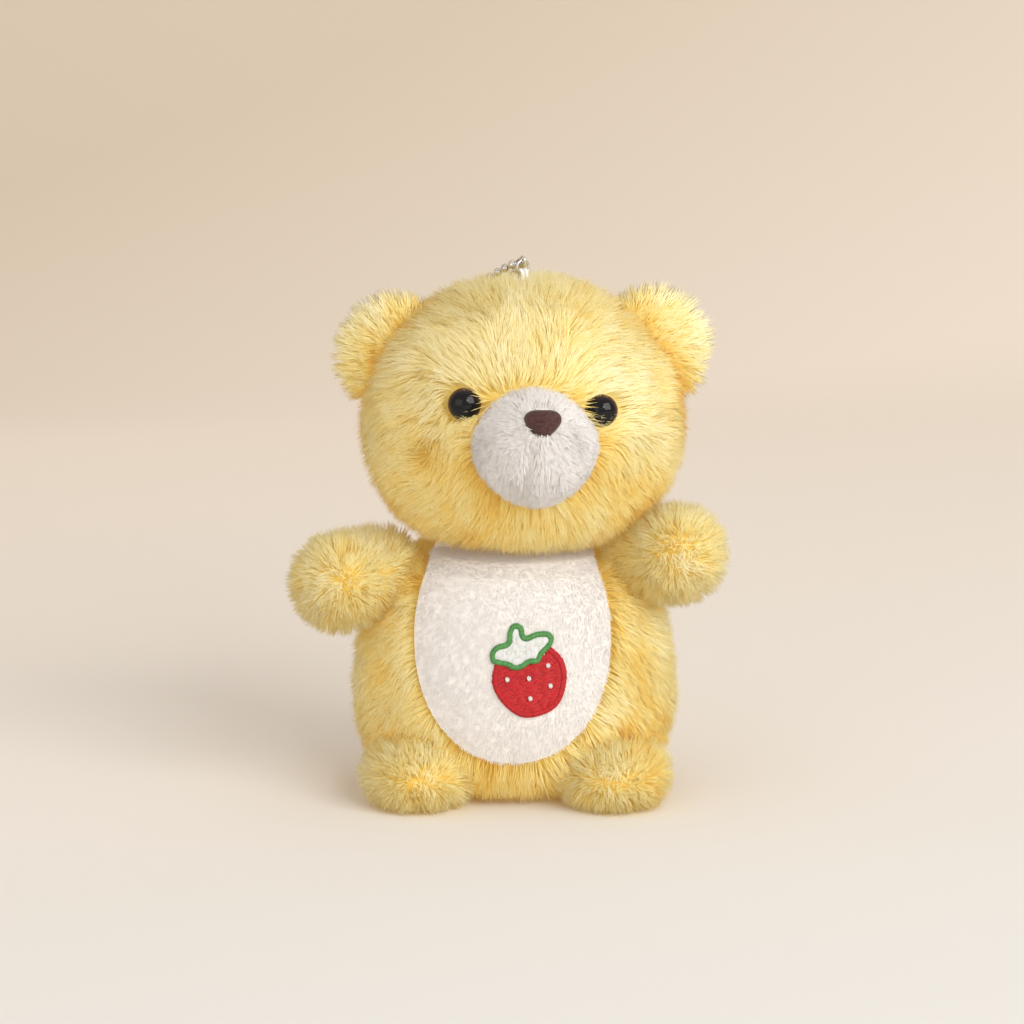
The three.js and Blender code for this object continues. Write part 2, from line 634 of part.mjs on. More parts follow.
// A strand of round beads on a thin pin, skinned as one form. The pin can run on past the last
// bead to just short of the next strand's first one.
function beadStations(centres) {
  return centres.flatMap((at, i) => {
    const next = centres[i + 1] ?? at;
    const along = (i + 1 < centres.length ? next.clone().sub(at) : at.clone().sub(centres[i - 1]))
      .normalize();
    return BEAD_STATIONS.map((share) => ({
      at: at.clone().addScaledVector(along, share * beadRadius),
      radius: Math.max(Math.sqrt(1 - share * share) * beadRadius, CHAIN.pin / 2),
    }));
  });
}

function vectors(points) {
  return points.map((point) => new THREE.Vector3(...point));
}

function strandCentres(first, count, sign) {
  return vectors(Array.from({ length: count }, (_, i) => beadCentre(first + i, sign)));
}

// Where a pin stops short of the bead that another body carries.
function pinEnd(last, next) {
  const along = next.clone().sub(last);
  const at = last.clone().addScaledVector(along.normalize(),
    last.distanceTo(next) - beadRadius - GAP);
  return { at, radius: CHAIN.pin / 2 };
}

function beadRun(first, count, sign, reachesNext) {
  const centres = strandCentres(first, count, sign);
  const stations = beadStations(centres);
  if (reachesNext) {
    const next = new THREE.Vector3(...beadCentre(first + count, sign));
    stations.push(pinEnd(centres[count - 1], next));
  }
  return stations;
}

// The link: the pin between the two strands, bent over the ring's top wire.
const linkRadius = 2 * wireRadius + GAP;
const linkArc = Array.from({ length: 5 }, (_, i) => {
  const angle = Math.PI / 2 + (i / 4) * Math.PI;
  return [0, linkRadius * Math.cos(angle), ringTop + linkRadius * Math.sin(angle)];
});
const linkEnd = { across: 0.4, back: 1, level: linkRadius * 0.8 };
const linkStations = vectors([[-linkEnd.across, linkEnd.back, ringTop + linkEnd.level], ...linkArc,
  [linkEnd.across, linkEnd.back, ringTop - linkEnd.level]]).map((at) => ({ at, radius: CHAIN.pin / 2 }));
const topStations = [
  ...beadRun(0, CHAIN.topBeads, -1, true).reverse(), ...linkStations,
  ...beadRun(0, CHAIN.topBeads, 1, true),
];
const BEAD_SIDES = 7;
add('chain_top', onCrown(swept(topStations, BEAD_SIDES)), COLOURS.metal, 0.3, 1);

const STRANDS = { left: -1, right: 1 };
const RUN_NAMES = ['upper', 'middle', 'lower'];
const claspReach = CLASP.length / 2 - beadRadius - GAP;
const [, claspY, claspZ] = beadCentre(perStrand, 1);
RUN_NAMES.forEach((name, run) => {
  const first = CHAIN.topBeads + run * CHAIN.runBeads;
  const isLast = run === RUN_NAMES.length - 1;
  for (const [side, sign] of Object.entries(STRANDS)) {
    let stations = beadRun(first, CHAIN.runBeads, sign, !isLast);
    if (isLast) {
      const centres = strandCentres(first, CHAIN.runBeads, sign);
      centres.push(new THREE.Vector3(sign * claspReach, claspY, claspZ));
      stations = beadStations(centres);
    }
    add(`chain_${name}_${side}`, onCrown(swept(stations, BEAD_SIDES)), COLOURS.metal, 0.3, 1);
  }
});

// The clasp: a folded channel, open on the side that the strands come in.
const claspBore = beadRadius + GAP;
const claspOuter = claspBore + CLASP.wall;
const channel = (radius, halfLength) => cylinder(radius,
  [-halfLength, claspY, claspZ], [halfLength, claspY, claspZ], 12)
  .add(box([-halfLength, claspY - radius, claspZ],
    [halfLength, claspY + radius, claspZ + beadRadius]));
const claspShape = channel(claspOuter, CLASP.length / 2)
  .subtract(channel(claspBore, CLASP.length / 2 + 1))
  .subtract(box([-FAR, -FAR, claspZ + beadRadius - 0.01], [FAR, FAR, FAR]));
add('chain_clasp', onCrown(claspShape), COLOURS.metal, 0.35, 1);

// ---- frame: origin at the middle of the base, and the hinge points for the joints -------

const bounds = new THREE.Box3().setFromObject(part);
const centre = bounds.getCenter(new THREE.Vector3());
part.position.set(-centre.x, -centre.y, -bounds.min.z);

const crownPoint = (x, y, z) => new THREE.Vector3(x, y, z)
  .applyAxisAngle(new THREE.Vector3(0, 0, 1), THREE.MathUtils.degToRad(headingTurn))
  .add(new THREE.Vector3(HEAD.x, 0, 0));
const jointBead = (run) => {
  const [, y, z] = beadCentre(CHAIN.topBeads + run * CHAIN.runBeads, 1);
  return crownPoint(0, y, z);
};
part.userData.hinges = {
  head_turn: new THREE.Vector3(HEAD.x, 0, NECK.z),
  arm_left_swing: new THREE.Vector3(ARMS.left.x, ARMS.left.y, ARMS.left.z),
  arm_right_swing: new THREE.Vector3(ARMS.right.x, ARMS.right.y, ARMS.right.z),
  ear_left_fold: new THREE.Vector3(EARS.left.x, EARS.left.y, EARS.left.z),
  ear_right_fold: new THREE.Vector3(EARS.right.x, EARS.right.y, EARS.right.z),
  loop_flop: crownPoint(0, 0, knotZ),
  ring_tilt: crownPoint(0, 0, bendZ),
  chain_swing: crownPoint(0, 0, ringTop),
  chain_upper_bend: jointBead(0),
  chain_middle_bend: jointBead(1),
  chain_lower_bend: jointBead(2),
  clasp_release: crownPoint(-claspReach, claspY, claspZ),
};
for (const point of Object.values(part.userData.hinges)) point.add(part.position);

export default part;
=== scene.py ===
# %% [markdown]
# # A plush bear on a bead chain
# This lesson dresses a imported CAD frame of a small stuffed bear. The frame holds the sizes, the
# panels and the joints. Blender adds what makes the bear soft: the pile of the plush, the pressed
# seams, the stitched berry, the polished eyes and the metal chain.

# %% Load the frame
import json
import math

import bpy
import numpy as np
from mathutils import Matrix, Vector
from mathutils.kdtree import KDTree

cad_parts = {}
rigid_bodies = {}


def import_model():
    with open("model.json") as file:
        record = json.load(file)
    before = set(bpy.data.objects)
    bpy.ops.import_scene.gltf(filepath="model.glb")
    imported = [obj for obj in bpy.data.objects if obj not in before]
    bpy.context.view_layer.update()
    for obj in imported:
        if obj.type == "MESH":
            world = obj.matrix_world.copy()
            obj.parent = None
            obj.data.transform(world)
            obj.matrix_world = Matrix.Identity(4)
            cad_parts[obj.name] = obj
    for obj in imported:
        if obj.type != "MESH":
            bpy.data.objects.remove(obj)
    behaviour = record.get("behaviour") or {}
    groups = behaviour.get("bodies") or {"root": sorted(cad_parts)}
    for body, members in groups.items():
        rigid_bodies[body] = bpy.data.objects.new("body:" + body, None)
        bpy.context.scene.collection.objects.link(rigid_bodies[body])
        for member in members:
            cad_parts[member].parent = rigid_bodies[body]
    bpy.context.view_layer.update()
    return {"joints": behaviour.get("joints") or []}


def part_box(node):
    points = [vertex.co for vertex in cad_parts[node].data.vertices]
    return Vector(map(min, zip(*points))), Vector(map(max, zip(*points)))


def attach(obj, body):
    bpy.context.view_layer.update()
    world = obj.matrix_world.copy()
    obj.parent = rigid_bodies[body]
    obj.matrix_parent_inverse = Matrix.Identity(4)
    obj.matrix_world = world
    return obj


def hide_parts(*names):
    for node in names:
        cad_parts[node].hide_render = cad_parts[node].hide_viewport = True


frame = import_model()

# %% [markdown]
# ## Measuring the frame
# The pieces are worked out in millimetres, because the object is small and the numbers stay easy
# to read, and each mesh is scaled to metres once, when it is made. Most places below come from
# the boxes and joints of the CAD nodes, so the looks mostly follow the frame when the frame changes.

# %% Boxes of the nodes, in millimetres
MM = 0.001
SIDES = {"left": -1, "right": 1}


def span(*nodes):
    """Lowest and highest corner of some CAD nodes together, in mm."""
    corners = [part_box(node) for node in nodes]
    low = np.min([np.array(low) for low, _ in corners], axis=0)
    high = np.max([np.array(high) for _, high in corners], axis=0)
    return low / MM, high / MM


def joint_place(name):
    """A joint's point in mm."""
    joint = next(j for j in frame["joints"] if j["name"] == name)
    return np.array(joint["pos_m"]) / MM


head_low, head_high = span(*[f"head_{face}_{side}" for face in ("front", "back") for side in SIDES])
body_low, body_high = span(*[f"body_{face}_{side}" for face in ("front", "back") for side in SIDES])
head_middle = (head_low + head_high) / 2
body_middle = (body_low + body_high) / 2
print("head", np.round(head_high - head_low, 1), "body", np.round(body_high - body_low, 1))

# %% [markdown]
# ## Camera, light and floor
# A telephoto camera a little above the bear keeps its proportions natural, as a product
# photographer's does. One large soft lamp from the upper right models the fur, a fill on the left
# keeps the shadows pale, and a seamless paper sweep is floor and background in one.

# %% Camera
CAMERA_RISE = math.radians(11)
CAMERA_DISTANCE = 0.95
VIEW_WIDTH = 0.2483
aim = Vector((body_middle[0] * MM - 0.0007, body_middle[1] * MM, 0.0677))
camera = bpy.data.objects.new("camera", bpy.data.cameras.new("camera"))
bpy.context.scene.collection.objects.link(camera)
away = Vector((0, -math.cos(CAMERA_RISE), math.sin(CAMERA_RISE)))
camera.location = aim + away * CAMERA_DISTANCE
camera.rotation_euler = away.to_track_quat("Z", "Y").to_euler()
camera.data.sensor_width = 36
camera.data.lens = camera.data.sensor_width / VIEW_WIDTH * CAMERA_DISTANCE
camera.data.clip_start = 0.01
bpy.context.scene.camera = camera
bpy.context.scene.view_settings.view_transform = "Standard"
print("lens in mm:", round(camera.data.lens))


# %% [markdown]
# ## Materials from nodes
# Every finish here is a small network of nodes rather than one flat colour, because cloth, thread
# and plating are never one colour. A few helpers keep each network short enough to read.

# %% Building a node material
def new_material(name):
    """A material with its node tree cleared down to a shader and an output."""
    material = bpy.data.materials.new(name)
    material.use_nodes = True
    tree = material.node_tree
    shader = tree.nodes["Principled BSDF"]
    return material, tree, shader


def add_node(tree, kind, **values):
    """A node with some of its settings or unlinked inputs filled in."""
    node = tree.nodes.new(kind)
    for key, value in values.items():
        if key in node.inputs:
            node.inputs[key].default_value = value
        else:
            setattr(node, key, value)
    return node


def ramp(tree, factor, stops):
    """A colour ramp through (position, (r, g, b)) stops."""
    node = tree.nodes.new("ShaderNodeValToRGB")
    elements = node.color_ramp.elements
    while len(elements) < len(stops):
        elements.new(0.5)
    for element, (position, colour) in zip(elements, stops):
        element.position = position
        element.color = (*colour, 1)
    tree.links.new(factor, node.inputs["Fac"])
    return node.outputs["Color"]


print("nodes and ramps can be made")

# %% [markdown]
# ## Two numbers in each mesh
# Pile changes colour from root to tip and from tuft to tuft. Each mesh carries both in a map: how
# light its tuft is, and how far out on the strand a point lies. The materials read that map, so
# one material serves a whole kind of pile.

# %% Mixing colours
def mixed(tree, factor, root, tip):
    """The root colour fading into the tip colour."""
    node = add_node(tree, "ShaderNodeMix", data_type="RGBA")
    tree.links.new(factor, node.inputs["Factor"])
    for socket, colour in (("A", root), ("B", tip)):
        target = next(s for s in node.inputs if s.name == socket and s.type == "RGBA")
        tree.links.new(colour, target)
    return next(s for s in node.outputs if s.type == "RGBA")


def tone_and_reach_of(tree):
    """The two numbers that the meshes carry in their tone map."""
    tone_map = add_node(tree, "ShaderNodeUVMap", uv_map="OFBake")
    parts = tree.nodes.new("ShaderNodeSeparateXYZ")
    tree.links.new(tone_map.outputs["UV"], parts.inputs[0])
    return parts.outputs["X"], parts.outputs["Y"]


def speckle(tree, scale, detail, dark, light):
    """A cloudy mix of two colours, from noise in the piece's own coordinates."""
    place = tree.nodes.new("ShaderNodeTexCoord").outputs["Object"]
    noise = add_node(tree, "ShaderNodeTexNoise", Scale=scale, Detail=detail)
    tree.links.new(place, noise.inputs["Vector"])
    return ramp(tree, noise.outputs["Fac"], [(0.3, dark), (0.7, light)])


print("colours can be mixed")

# %% [markdown]
# ## The floor
# The bear sits on a sheet of pale paper that curves up behind it, so there is no line between
# floor and wall. A studio would hang a real roll. Here one strip of faces does it, and a colour
# ramp along its depth stands in for the way such paper darkens away from the lamps.

# %% Paper colours
# painted light and shade: the ramp darkens the paper to the back and the left
PAPER_STOPS = [(0.0, (0.78, 0.77, 0.745)), (0.2, (0.85, 0.81, 0.76)), (0.7, (0.915, 0.825, 0.725)),
               (1.0, (0.735, 0.63, 0.505))]
PAPER_FROM, PAPER_TO = -0.2, 0.9      # where the colours start and end, in metres of depth
PAPER_ASIDE = -0.5                    # a metre to the right counts as half a metre nearer


def paper_material():
    """Pale warm paper with painted shade that darkens it slowly to the back and the left."""
    material, tree, shader = new_material("paper")
    place = tree.nodes.new("ShaderNodeTexCoord").outputs["Object"]
    parts = tree.nodes.new("ShaderNodeSeparateXYZ")
    tree.links.new(place, parts.inputs[0])
    rise = add_node(tree, "ShaderNodeMapRange")
    rise.inputs["From Min"].default_value = PAPER_FROM
    rise.inputs["From Max"].default_value = PAPER_TO
    aside = add_node(tree, "ShaderNodeMath", operation="MULTIPLY_ADD")
    tree.links.new(parts.outputs["X"], aside.inputs[0])
    aside.inputs[1].default_value = PAPER_ASIDE
    tree.links.new(parts.outputs["Y"], aside.inputs[2])
    tree.links.new(aside.outputs[0], rise.inputs["Value"])
    colour = ramp(tree, rise.outputs[0], PAPER_STOPS)
    tree.links.new(colour, shader.inputs["Base Color"])
    shader.inputs["Roughness"].default_value = 0.9
    return material


print("colours along the paper:", len(PAPER_STOPS))


# %% Paper sweep
def make_sweep():
    """Floor and wall of one sheet: flat under the bear, rising in a wide curve behind it."""
    bend_start, bend_radius, half_width, top = 0.55, 0.5, 2.2, 2.2
    rows = [(-2.0, 0.0), (0.0, 0.0), (bend_start, 0.0)]
    for i in range(1, 17):
        angle = i / 16 * math.pi / 2
        rows.append((bend_start + bend_radius * math.sin(angle),
                     bend_radius * (1 - math.cos(angle))))
    rows.append((bend_start + bend_radius, top))
    verts = [(x, y, z) for y, z in rows for x in (-half_width, half_width)]
    faces = [(2 * i, 2 * i + 1, 2 * i + 3, 2 * i + 2) for i in range(len(rows) - 1)]
    mesh = bpy.data.meshes.new("paper_sweep")
    mesh.from_pydata(verts, [], faces)
    mesh.shade_smooth()
    mesh.materials.append(paper_material())
    sweep = bpy.data.objects.new("paper_sweep", mesh)
    bpy.context.scene.collection.objects.link(sweep)
    return sweep


print("floor faces:", len(make_sweep().data.polygons))

# %% [markdown]
# ## The lamps
# Fur needs broad light: a small lamp would make every strand throw its own hard shadow. A large
# key lamp stands to the right, a weaker fill to the left, and a small lamp in front gives the
# eyes and the beads their spark.

# %% Lamps
def area_lamp(name, place, size, power, colour):
    """A soft rectangular lamp that faces the bear's middle."""
    data = bpy.data.lights.new(name, "AREA")
    data.shape = "RECTANGLE"
    data.size, data.size_y = size
    data.energy = power
    data.color = colour
    lamp = bpy.data.objects.new(name, data)
    bpy.context.scene.collection.objects.link(lamp)
    lamp.location = place
    toward = Vector(place) - Vector((0, 0, 0.07))
    lamp.rotation_euler = toward.to_track_quat("Z", "Y").to_euler()
    return lamp


area_lamp("key", (0.85, -1.0, 0.75), (1.0, 1.0), 13.6, (1.0, 0.98, 0.95))
area_lamp("fill", (-0.9, -1.3, 0.4), (1.2, 1.0), 3.5, (1.0, 0.97, 0.93))
area_lamp("top", (0.0, 0.1, 1.5), (1.4, 1.4), 1.5, (1.0, 0.98, 0.95))
area_lamp("catch", (0.3, -1.0, 0.55), (0.16, 0.2), 0.9, (1.0, 1.0, 1.0))
world = bpy.data.worlds.new("studio")
bpy.context.scene.world = world
world.use_nodes = True
world.node_tree.nodes["Background"].inputs["Color"].default_value = (1.0, 0.97, 0.94, 1)
world.node_tree.nodes["Background"].inputs["Strength"].default_value = 0.64
print("lamps:", [lamp.name for lamp in bpy.data.lights])

# %% [markdown]
# ## Meshes from arrays
# A plush toy has tens of thousands of tufts, so the pile is computed with numpy for all strands
# at once. Every vertex carries two numbers in a UV map: its tone, one for each strand, and how
# far along the strand it is. The material reads its colours from these two numbers alone.


# %% Making an object from arrays
def make_piece(name, points, triangles, tone_and_reach, normals, material, body):
    """A smooth mesh in metres with a tone map, riding on a body."""
    mesh = bpy.data.meshes.new(name)
    mesh.vertices.add(len(points))
    mesh.vertices.foreach_set("co", (points * MM).astype(np.float32).ravel())
    mesh.loops.add(triangles.size)
    mesh.loops.foreach_set("vertex_index", triangles.astype(np.int32).ravel())
    mesh.polygons.add(len(triangles))
    mesh.polygons.foreach_set("loop_start", np.arange(0, triangles.size, 3, dtype=np.int32))
    mesh.update(calc_edges=True)
    mesh.shade_smooth()
    if tone_and_reach is not None:
        layer = mesh.uv_layers.new(name="OFBake")
        layer.data.foreach_set("uv", tone_and_reach[triangles.ravel()].astype(np.float32).ravel())
    if normals is not None:
        mesh.normals_split_custom_set_from_vertices(normals.astype(np.float32))
    mesh.materials.append(material)
    piece = bpy.data.objects.new(name, mesh)
    bpy.context.scene.collection.objects.link(piece)
    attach(piece, body)
    print(f"{name}: {len(triangles)} triangles on {body}")
    return piece


# %% Directions and joined parts
def unit(vectors):
    """Vectors scaled to length one."""
    return vectors / np.maximum(np.linalg.norm(vectors, axis=-1, keepdims=True), 1e-9)


def facing_out(points, triangles, normals):
    """A closed shape's triangles and normals, turned to point out of it."""
    a, b, c = (points[triangles[:, k]] for k in range(3))
    volume = (np.cross(b - a, c - a) * (a + b + c)).sum()
    if volume < 0:
        return triangles[:, ::-1], -normals
    return triangles, normals


def joined(parts):
    """Several (points, triangles, tones, normals) tuples as one."""
    points, triangles, tones, normals = [], [], [], []
    start = 0
    for p, t, u, n in parts:
        points.append(p)
        triangles.append(t + start)
        tones.append(u)
        normals.append(n)
        start += len(p)
    return (np.concatenate(points), np.concatenate(triangles), np.concatenate(tones),
            np.concatenate(normals))


print("a unit vector:", unit(np.array([3.0, 0.0, 4.0])))

# %% [markdown]
# ## Uneven by nature
# No stuffed toy is even: its colour and its pile drift from place to place. A few sine waves in
# random directions give a smooth drift that has no grain, costs little and is the same each run.

# %% Smooth random fields
class Waves:
    """A smooth random field: a few sine waves in random directions, between about -1 and 1."""

    STRENGTH = 2.6             # brings the mean of the waves back to about one

    def __init__(self, seed, scale, count=14):
        rng = np.random.default_rng(seed)
        self.directions = unit(rng.normal(size=(count, 3))) * (2 * math.pi / scale)
        self.directions *= rng.uniform(0.5, 1.6, size=(count, 1))
        self.phases = rng.uniform(0, 2 * math.pi, count)

    def __call__(self, points):
        """The field's value at each point."""
        return np.sin(points @ self.directions.T + self.phases).mean(axis=1) * self.STRENGTH


print("waves in a field:", len(Waves(1, 10).phases))

# %% [markdown]
# ## Round forms
# The head and the body are stacks of oval rings, like a lathe-turned form that is wider than it
# is deep. The same numbers give the surface to grow fur on and a test for whether a point is
# inside, which keeps fur out of the places where two stuffed parts press together.


# %% Ringed forms
class Ringed:
    """Oval rings stacked along Z: share(lift) of the half width at each height, lift 0 to 1."""

    def __init__(self, low, high, share, inset):
        self.low = low + inset
        self.high = high - inset
        self.middle = (low + high) / 2
        self.half = (high - low) / 2 - inset
        self.share = share

    def surface(self, around=96, rows=64):
        """A grid of rings from the bottom to the top."""
        lifts = (1 - np.cos(np.linspace(0, math.pi, rows))) / 2
        shares = self.share(lifts)
        angles = np.linspace(0, 2 * math.pi, around, endpoint=False)
        z = self.low[2] + (self.high[2] - self.low[2]) * lifts
        grid = np.empty((rows, around, 3))
        grid[..., 0] = self.middle[0] + self.half[0] * shares[:, None] * np.cos(angles)
        grid[..., 1] = self.middle[1] + self.half[1] * shares[:, None] * np.sin(angles)
        grid[..., 2] = z[:, None]
        return grid

    def depth(self, points):
        """Under 0 inside, over 0 outside, about in mm."""
        lift = (points[:, 2] - self.low[2]) / (self.high[2] - self.low[2])
        share = np.maximum(self.share(np.clip(lift, 0, 1)), 0.05)
        flat = (points[:, :2] - self.middle[:2]) / (self.half[:2] * share[:, None])
        level = np.maximum(lift - 1, -lift) * (self.high[2] - self.low[2])
        return np.maximum((np.linalg.norm(flat, axis=1) - 1) * self.half[0] * share, level)


print("rings:", Ringed(head_low, head_high, np.ones_like, 0).surface().shape)

# %% Arms as stubs
class Stub:
    """A stub between two balls: the shoulder's at start, the paw's at end."""

    def __init__(self, start, end, start_radius, end_radius):
        self.start, self.end = np.array(start), np.array(end)
        self.radii = (start_radius, end_radius)
        self.length = np.linalg.norm(self.end - self.start)
        self.along = (self.end - self.start) / self.length

    def surface(self, around=56, rows=40):
        """A grid of rings from the shoulder's end to the paw's."""
        side = unit(np.cross(self.along, (0, 0, 1)))
        other = np.cross(self.along, side)
        start_radius, end_radius = self.radii
        turns = np.linspace(-math.pi / 2, math.pi / 2, rows)
        reach = np.where(turns < 0, start_radius * np.sin(turns),
                         self.length + end_radius * np.sin(turns))
        radius = np.where(turns < 0, start_radius * np.cos(turns), end_radius * np.cos(turns))
        angles = np.linspace(0, 2 * math.pi, around, endpoint=False)
        ring = np.cos(angles)[:, None] * side + np.sin(angles)[:, None] * other
        return (self.start + reach[:, None, None] * self.along
                + radius[:, None, None] * ring[None])

    def depth(self, points):
        """Under 0 inside, over 0 outside, in mm."""
        share = np.clip((points - self.start) @ self.along / self.length, 0, 1)
        nearest = self.start + share[:, None] * (self.end - self.start)
        radius = self.radii[0] + (self.radii[1] - self.radii[0]) * share
        return np.linalg.norm(points - nearest, axis=1) - radius


print("stub length:", Stub((0, 0, 0), (3, 0, 4), 1, 1).length)

# %% Pads
class Pad:
    """An ellipsoid, with its own axes as rows of `axes`."""

    def __init__(self, middle, half, axes=None):
        self.middle, self.half = np.array(middle, float), np.array(half, float)
        self.axes = np.eye(3) if axes is None else np.array(axes, float)

    def surface(self, around=56, rows=36):
        """A grid of rings from one pole to the other."""
        turns = np.linspace(-math.pi / 2, math.pi / 2, rows)
        angles = np.linspace(0, 2 * math.pi, around, endpoint=False)
        reach = np.cos(turns)
        local = np.empty((rows, around, 3))
        local[..., 0] = reach[:, None] * np.cos(angles) * self.half[0]
        local[..., 1] = reach[:, None] * np.sin(angles) * self.half[1]
        local[..., 2] = (np.sin(turns) * self.half[2])[:, None]
        return self.middle + local @ self.axes

    def depth(self, points):
        """Under 0 inside, over 0 outside, about in mm."""
        local = (points - self.middle) @ self.axes.T
        return (np.linalg.norm(local / self.half, axis=1) - 1) * self.half.min()


print("depth at a pad's middle:", Pad((0, 0, 0), (2, 2, 2)).depth(np.zeros((1, 3))))

# %% Grids as triangles
def vertex_normals(points, triangles, smallest):
    """The triangles that have an area, and normals averaged at each point."""
    corners = points[triangles]
    cross = np.cross(corners[:, 1] - corners[:, 0], corners[:, 2] - corners[:, 0])
    normals = np.zeros_like(points)
    for k in range(3):
        np.add.at(normals, triangles[:, k], cross)
    keep = np.linalg.norm(cross, axis=1) > smallest
    return points, triangles[keep], unit(normals)


def split_quads(a, b, c, d):
    """Two triangles for each quad, from four arrays of corner numbers."""
    return np.concatenate([np.stack([a, b, c], -1).reshape(-1, 3),
                           np.stack([a, c, d], -1).reshape(-1, 3)])


def ring_triangles(rows, around):
    """The triangles between rings of points that close on themselves."""
    index = np.arange(rows * around).reshape(rows, around)
    following = np.roll(index, -1, axis=1)
    return split_quads(index[:-1], following[:-1], following[1:], index[1:])


def grid_mesh(grid):
    """A grid of rings as points, triangles and normals."""
    rows, around, _ = grid.shape
    return vertex_normals(grid.reshape(-1, 3), ring_triangles(rows, around), 1e-6)


print("triangles of a small pad:", len(grid_mesh(Pad((0, 0, 0), (1, 1, 1)).surface(8, 6))[1]))

# %% [markdown]
# ## The stuffed shapes
# The head is a wide ball with full cheeks, the body a pear, the feet and ears flattened balls and
# the arms short stubs. A sculptor would model them by eye. Here each one is a rule for its width
# at each height, set into the box of its CAD node, so it always fits its frame.

# %% Head and body forms
BACKING_DEPTH = 3.6            # the fabric backing lies this far inside the CAD cover's face


def head_share(lift):
    """Oval rings with full cheeks and a slightly narrower crown."""
    level = 2 * lift - 1
    fullness = np.where(level < 0, 0.28, 0.45)
    reach = np.maximum(1 - level ** 2, 0.0) ** fullness
    return reach * (1 - 0.055 * np.maximum(level + 0.2, 0))


def body_share(lift):
    """A pear: a flat seat, full hips, and narrow shoulders under the head."""
    lifts = [0, 0.03, 0.06, 0.16, 0.32, 0.5, 0.66, 0.8, 0.92, 0.98, 1]
    shares = [0.0, 0.62, 0.8, 0.94, 1, 0.99, 0.95, 0.88, 0.74, 0.54, 0.0]
    return np.interp(lift, lifts, shares)


LIFTS = np.linspace(0, 1, 401)
PEAR = body_share(LIFTS)
SMOOTHING = np.hanning(61) / np.hanning(61).sum()
PEAR_SMOOTH = np.convolve(np.pad(PEAR, 30, mode="edge"), SMOOTHING, mode="valid")
MIDDLE_WEIGHT = np.clip(np.minimum(LIFTS - 0.05, 0.95 - LIFTS) / 0.08, 0, 1)
PEAR_SMOOTH = PEAR + (PEAR_SMOOTH - PEAR) * MIDDLE_WEIGHT


def pear_share(lift):
    """The same pear without corners."""
    return np.interp(lift, LIFTS, PEAR_SMOOTH)


head_form = Ringed(head_low, head_high, head_share, BACKING_DEPTH)
body_form = Ringed(body_low, body_high, pear_share, BACKING_DEPTH)
print("head half widths:", np.round(head_form.half, 1), "body:", np.round(body_form.half, 1))

# %% Arm, foot and ear forms
PAW_RADIUS = 8.2
PAW_COVER = 11.4               # the CAD paw's radius, pile and all
SHOULDER_RADIUS = 6.4
SHOULDER_SET_IN = np.array([1.0, 3.0, 0.0])   # outwards and back, so the chest's pile laps it
arm_forms = {}
for side, sign in SIDES.items():
    arm_low, arm_high = span(f"arm_{side}_front", f"arm_{side}_back")
    start = joint_place(f"arm_{side}_swing") + SHOULDER_SET_IN * [sign, 1, 1]
    end = np.array([
        (arm_low[0] + PAW_COVER) if sign < 0 else (arm_high[0] - PAW_COVER),
        arm_low[1] + PAW_COVER,
        (arm_low[2] + PAW_COVER) if sign < 0 else (arm_high[2] - PAW_COVER),
    ])
    arm_forms[side] = Stub(start, end, SHOULDER_RADIUS, PAW_RADIUS)
FOOT_HALF = (10.2, 13.0, 6.6)
FOOT_SET_BACK, FOOT_LIFT = 16, 7.0            # of the foot's middle, from its toe and the floor
foot_forms = {}
for side in SIDES:
    foot_low, foot_high = span(f"foot_{side}_upper", f"foot_{side}_sole")
    middle = [(foot_low[0] + foot_high[0]) / 2, foot_low[1] + FOOT_SET_BACK, FOOT_LIFT]
    foot_forms[side] = Pad(middle, FOOT_HALF)
EAR_HALF = (11.2, 3.0, 10.2)
EAR_LEAN = math.radians(27)
ear_forms = {}
for side, sign in SIDES.items():
    place = joint_place(f"ear_{side}_fold")
    out = np.array([sign * math.cos(EAR_LEAN), 0, math.sin(EAR_LEAN)])
    across = np.array([0.0, 1.0, 0.0])
    base_line = np.cross(across, out)
    ear_forms[side] = Pad(place, EAR_HALF, axes=[base_line, across, out])
print("forms:", 2 + len(arm_forms) + len(foot_forms) + len(ear_forms))


# %% [markdown]
# ## How plush is made here
# Long-pile plush is knitted with loops that are cut and brushed. The brushing gathers neighbouring
# fibres into tufts that share one lean, and that is what the eye reads as fur. So the pile starts
# from random roots, each root joins the nearest tuft centre, and the tips are drawn together.


# %% Scattering roots on a form
def scatter(rng, surface, density, allowed):
    """Random points on a mesh, by area, where allowed(points) says yes."""
    points, triangles, normals = surface
    corners = points[triangles]
    areas = np.linalg.norm(np.cross(corners[:, 1] - corners[:, 0], corners[:, 2] - corners[:, 0]),
                           axis=1) / 2
    count = int(areas.sum() * density)
    chosen = rng.choice(len(triangles), count, p=areas / areas.sum())
    a, b = rng.random(count), rng.random(count)
    flip = a + b > 1
    a[flip], b[flip] = 1 - a[flip], 1 - b[flip]
    weights = np.stack([1 - a - b, a, b], 1)[..., None]
    roots = (points[triangles[chosen]] * weights).sum(axis=1)
    leans = unit((normals[triangles[chosen]] * weights).sum(axis=1))
    keep = allowed(roots)
    return roots[keep], leans[keep]


def nearest(centres, points):
    """The index of the nearest centre for each point."""
    tree = KDTree(len(centres))
    for i, centre in enumerate(centres):
        tree.insert(centre, i)
    tree.balance()
    return np.array([tree.find(point)[1] for point in points])


print("roots are scattered by area; each joins its nearest tuft")

# %% [markdown]
# ## One strand
# A strand starts upright in the cloth, bends over and ends in a point. Hair curves would render
# well, but they hold no surface that another program can read, so each strand is a thin closed
# tube with three sides. Its shading follows the skin below it, which keeps the pile soft.

# %% The shape of one strand
def tangent(vectors, normals):
    """The part of each vector that lies along the surface."""
    return vectors - (vectors * normals).sum(axis=1, keepdims=True) * normals


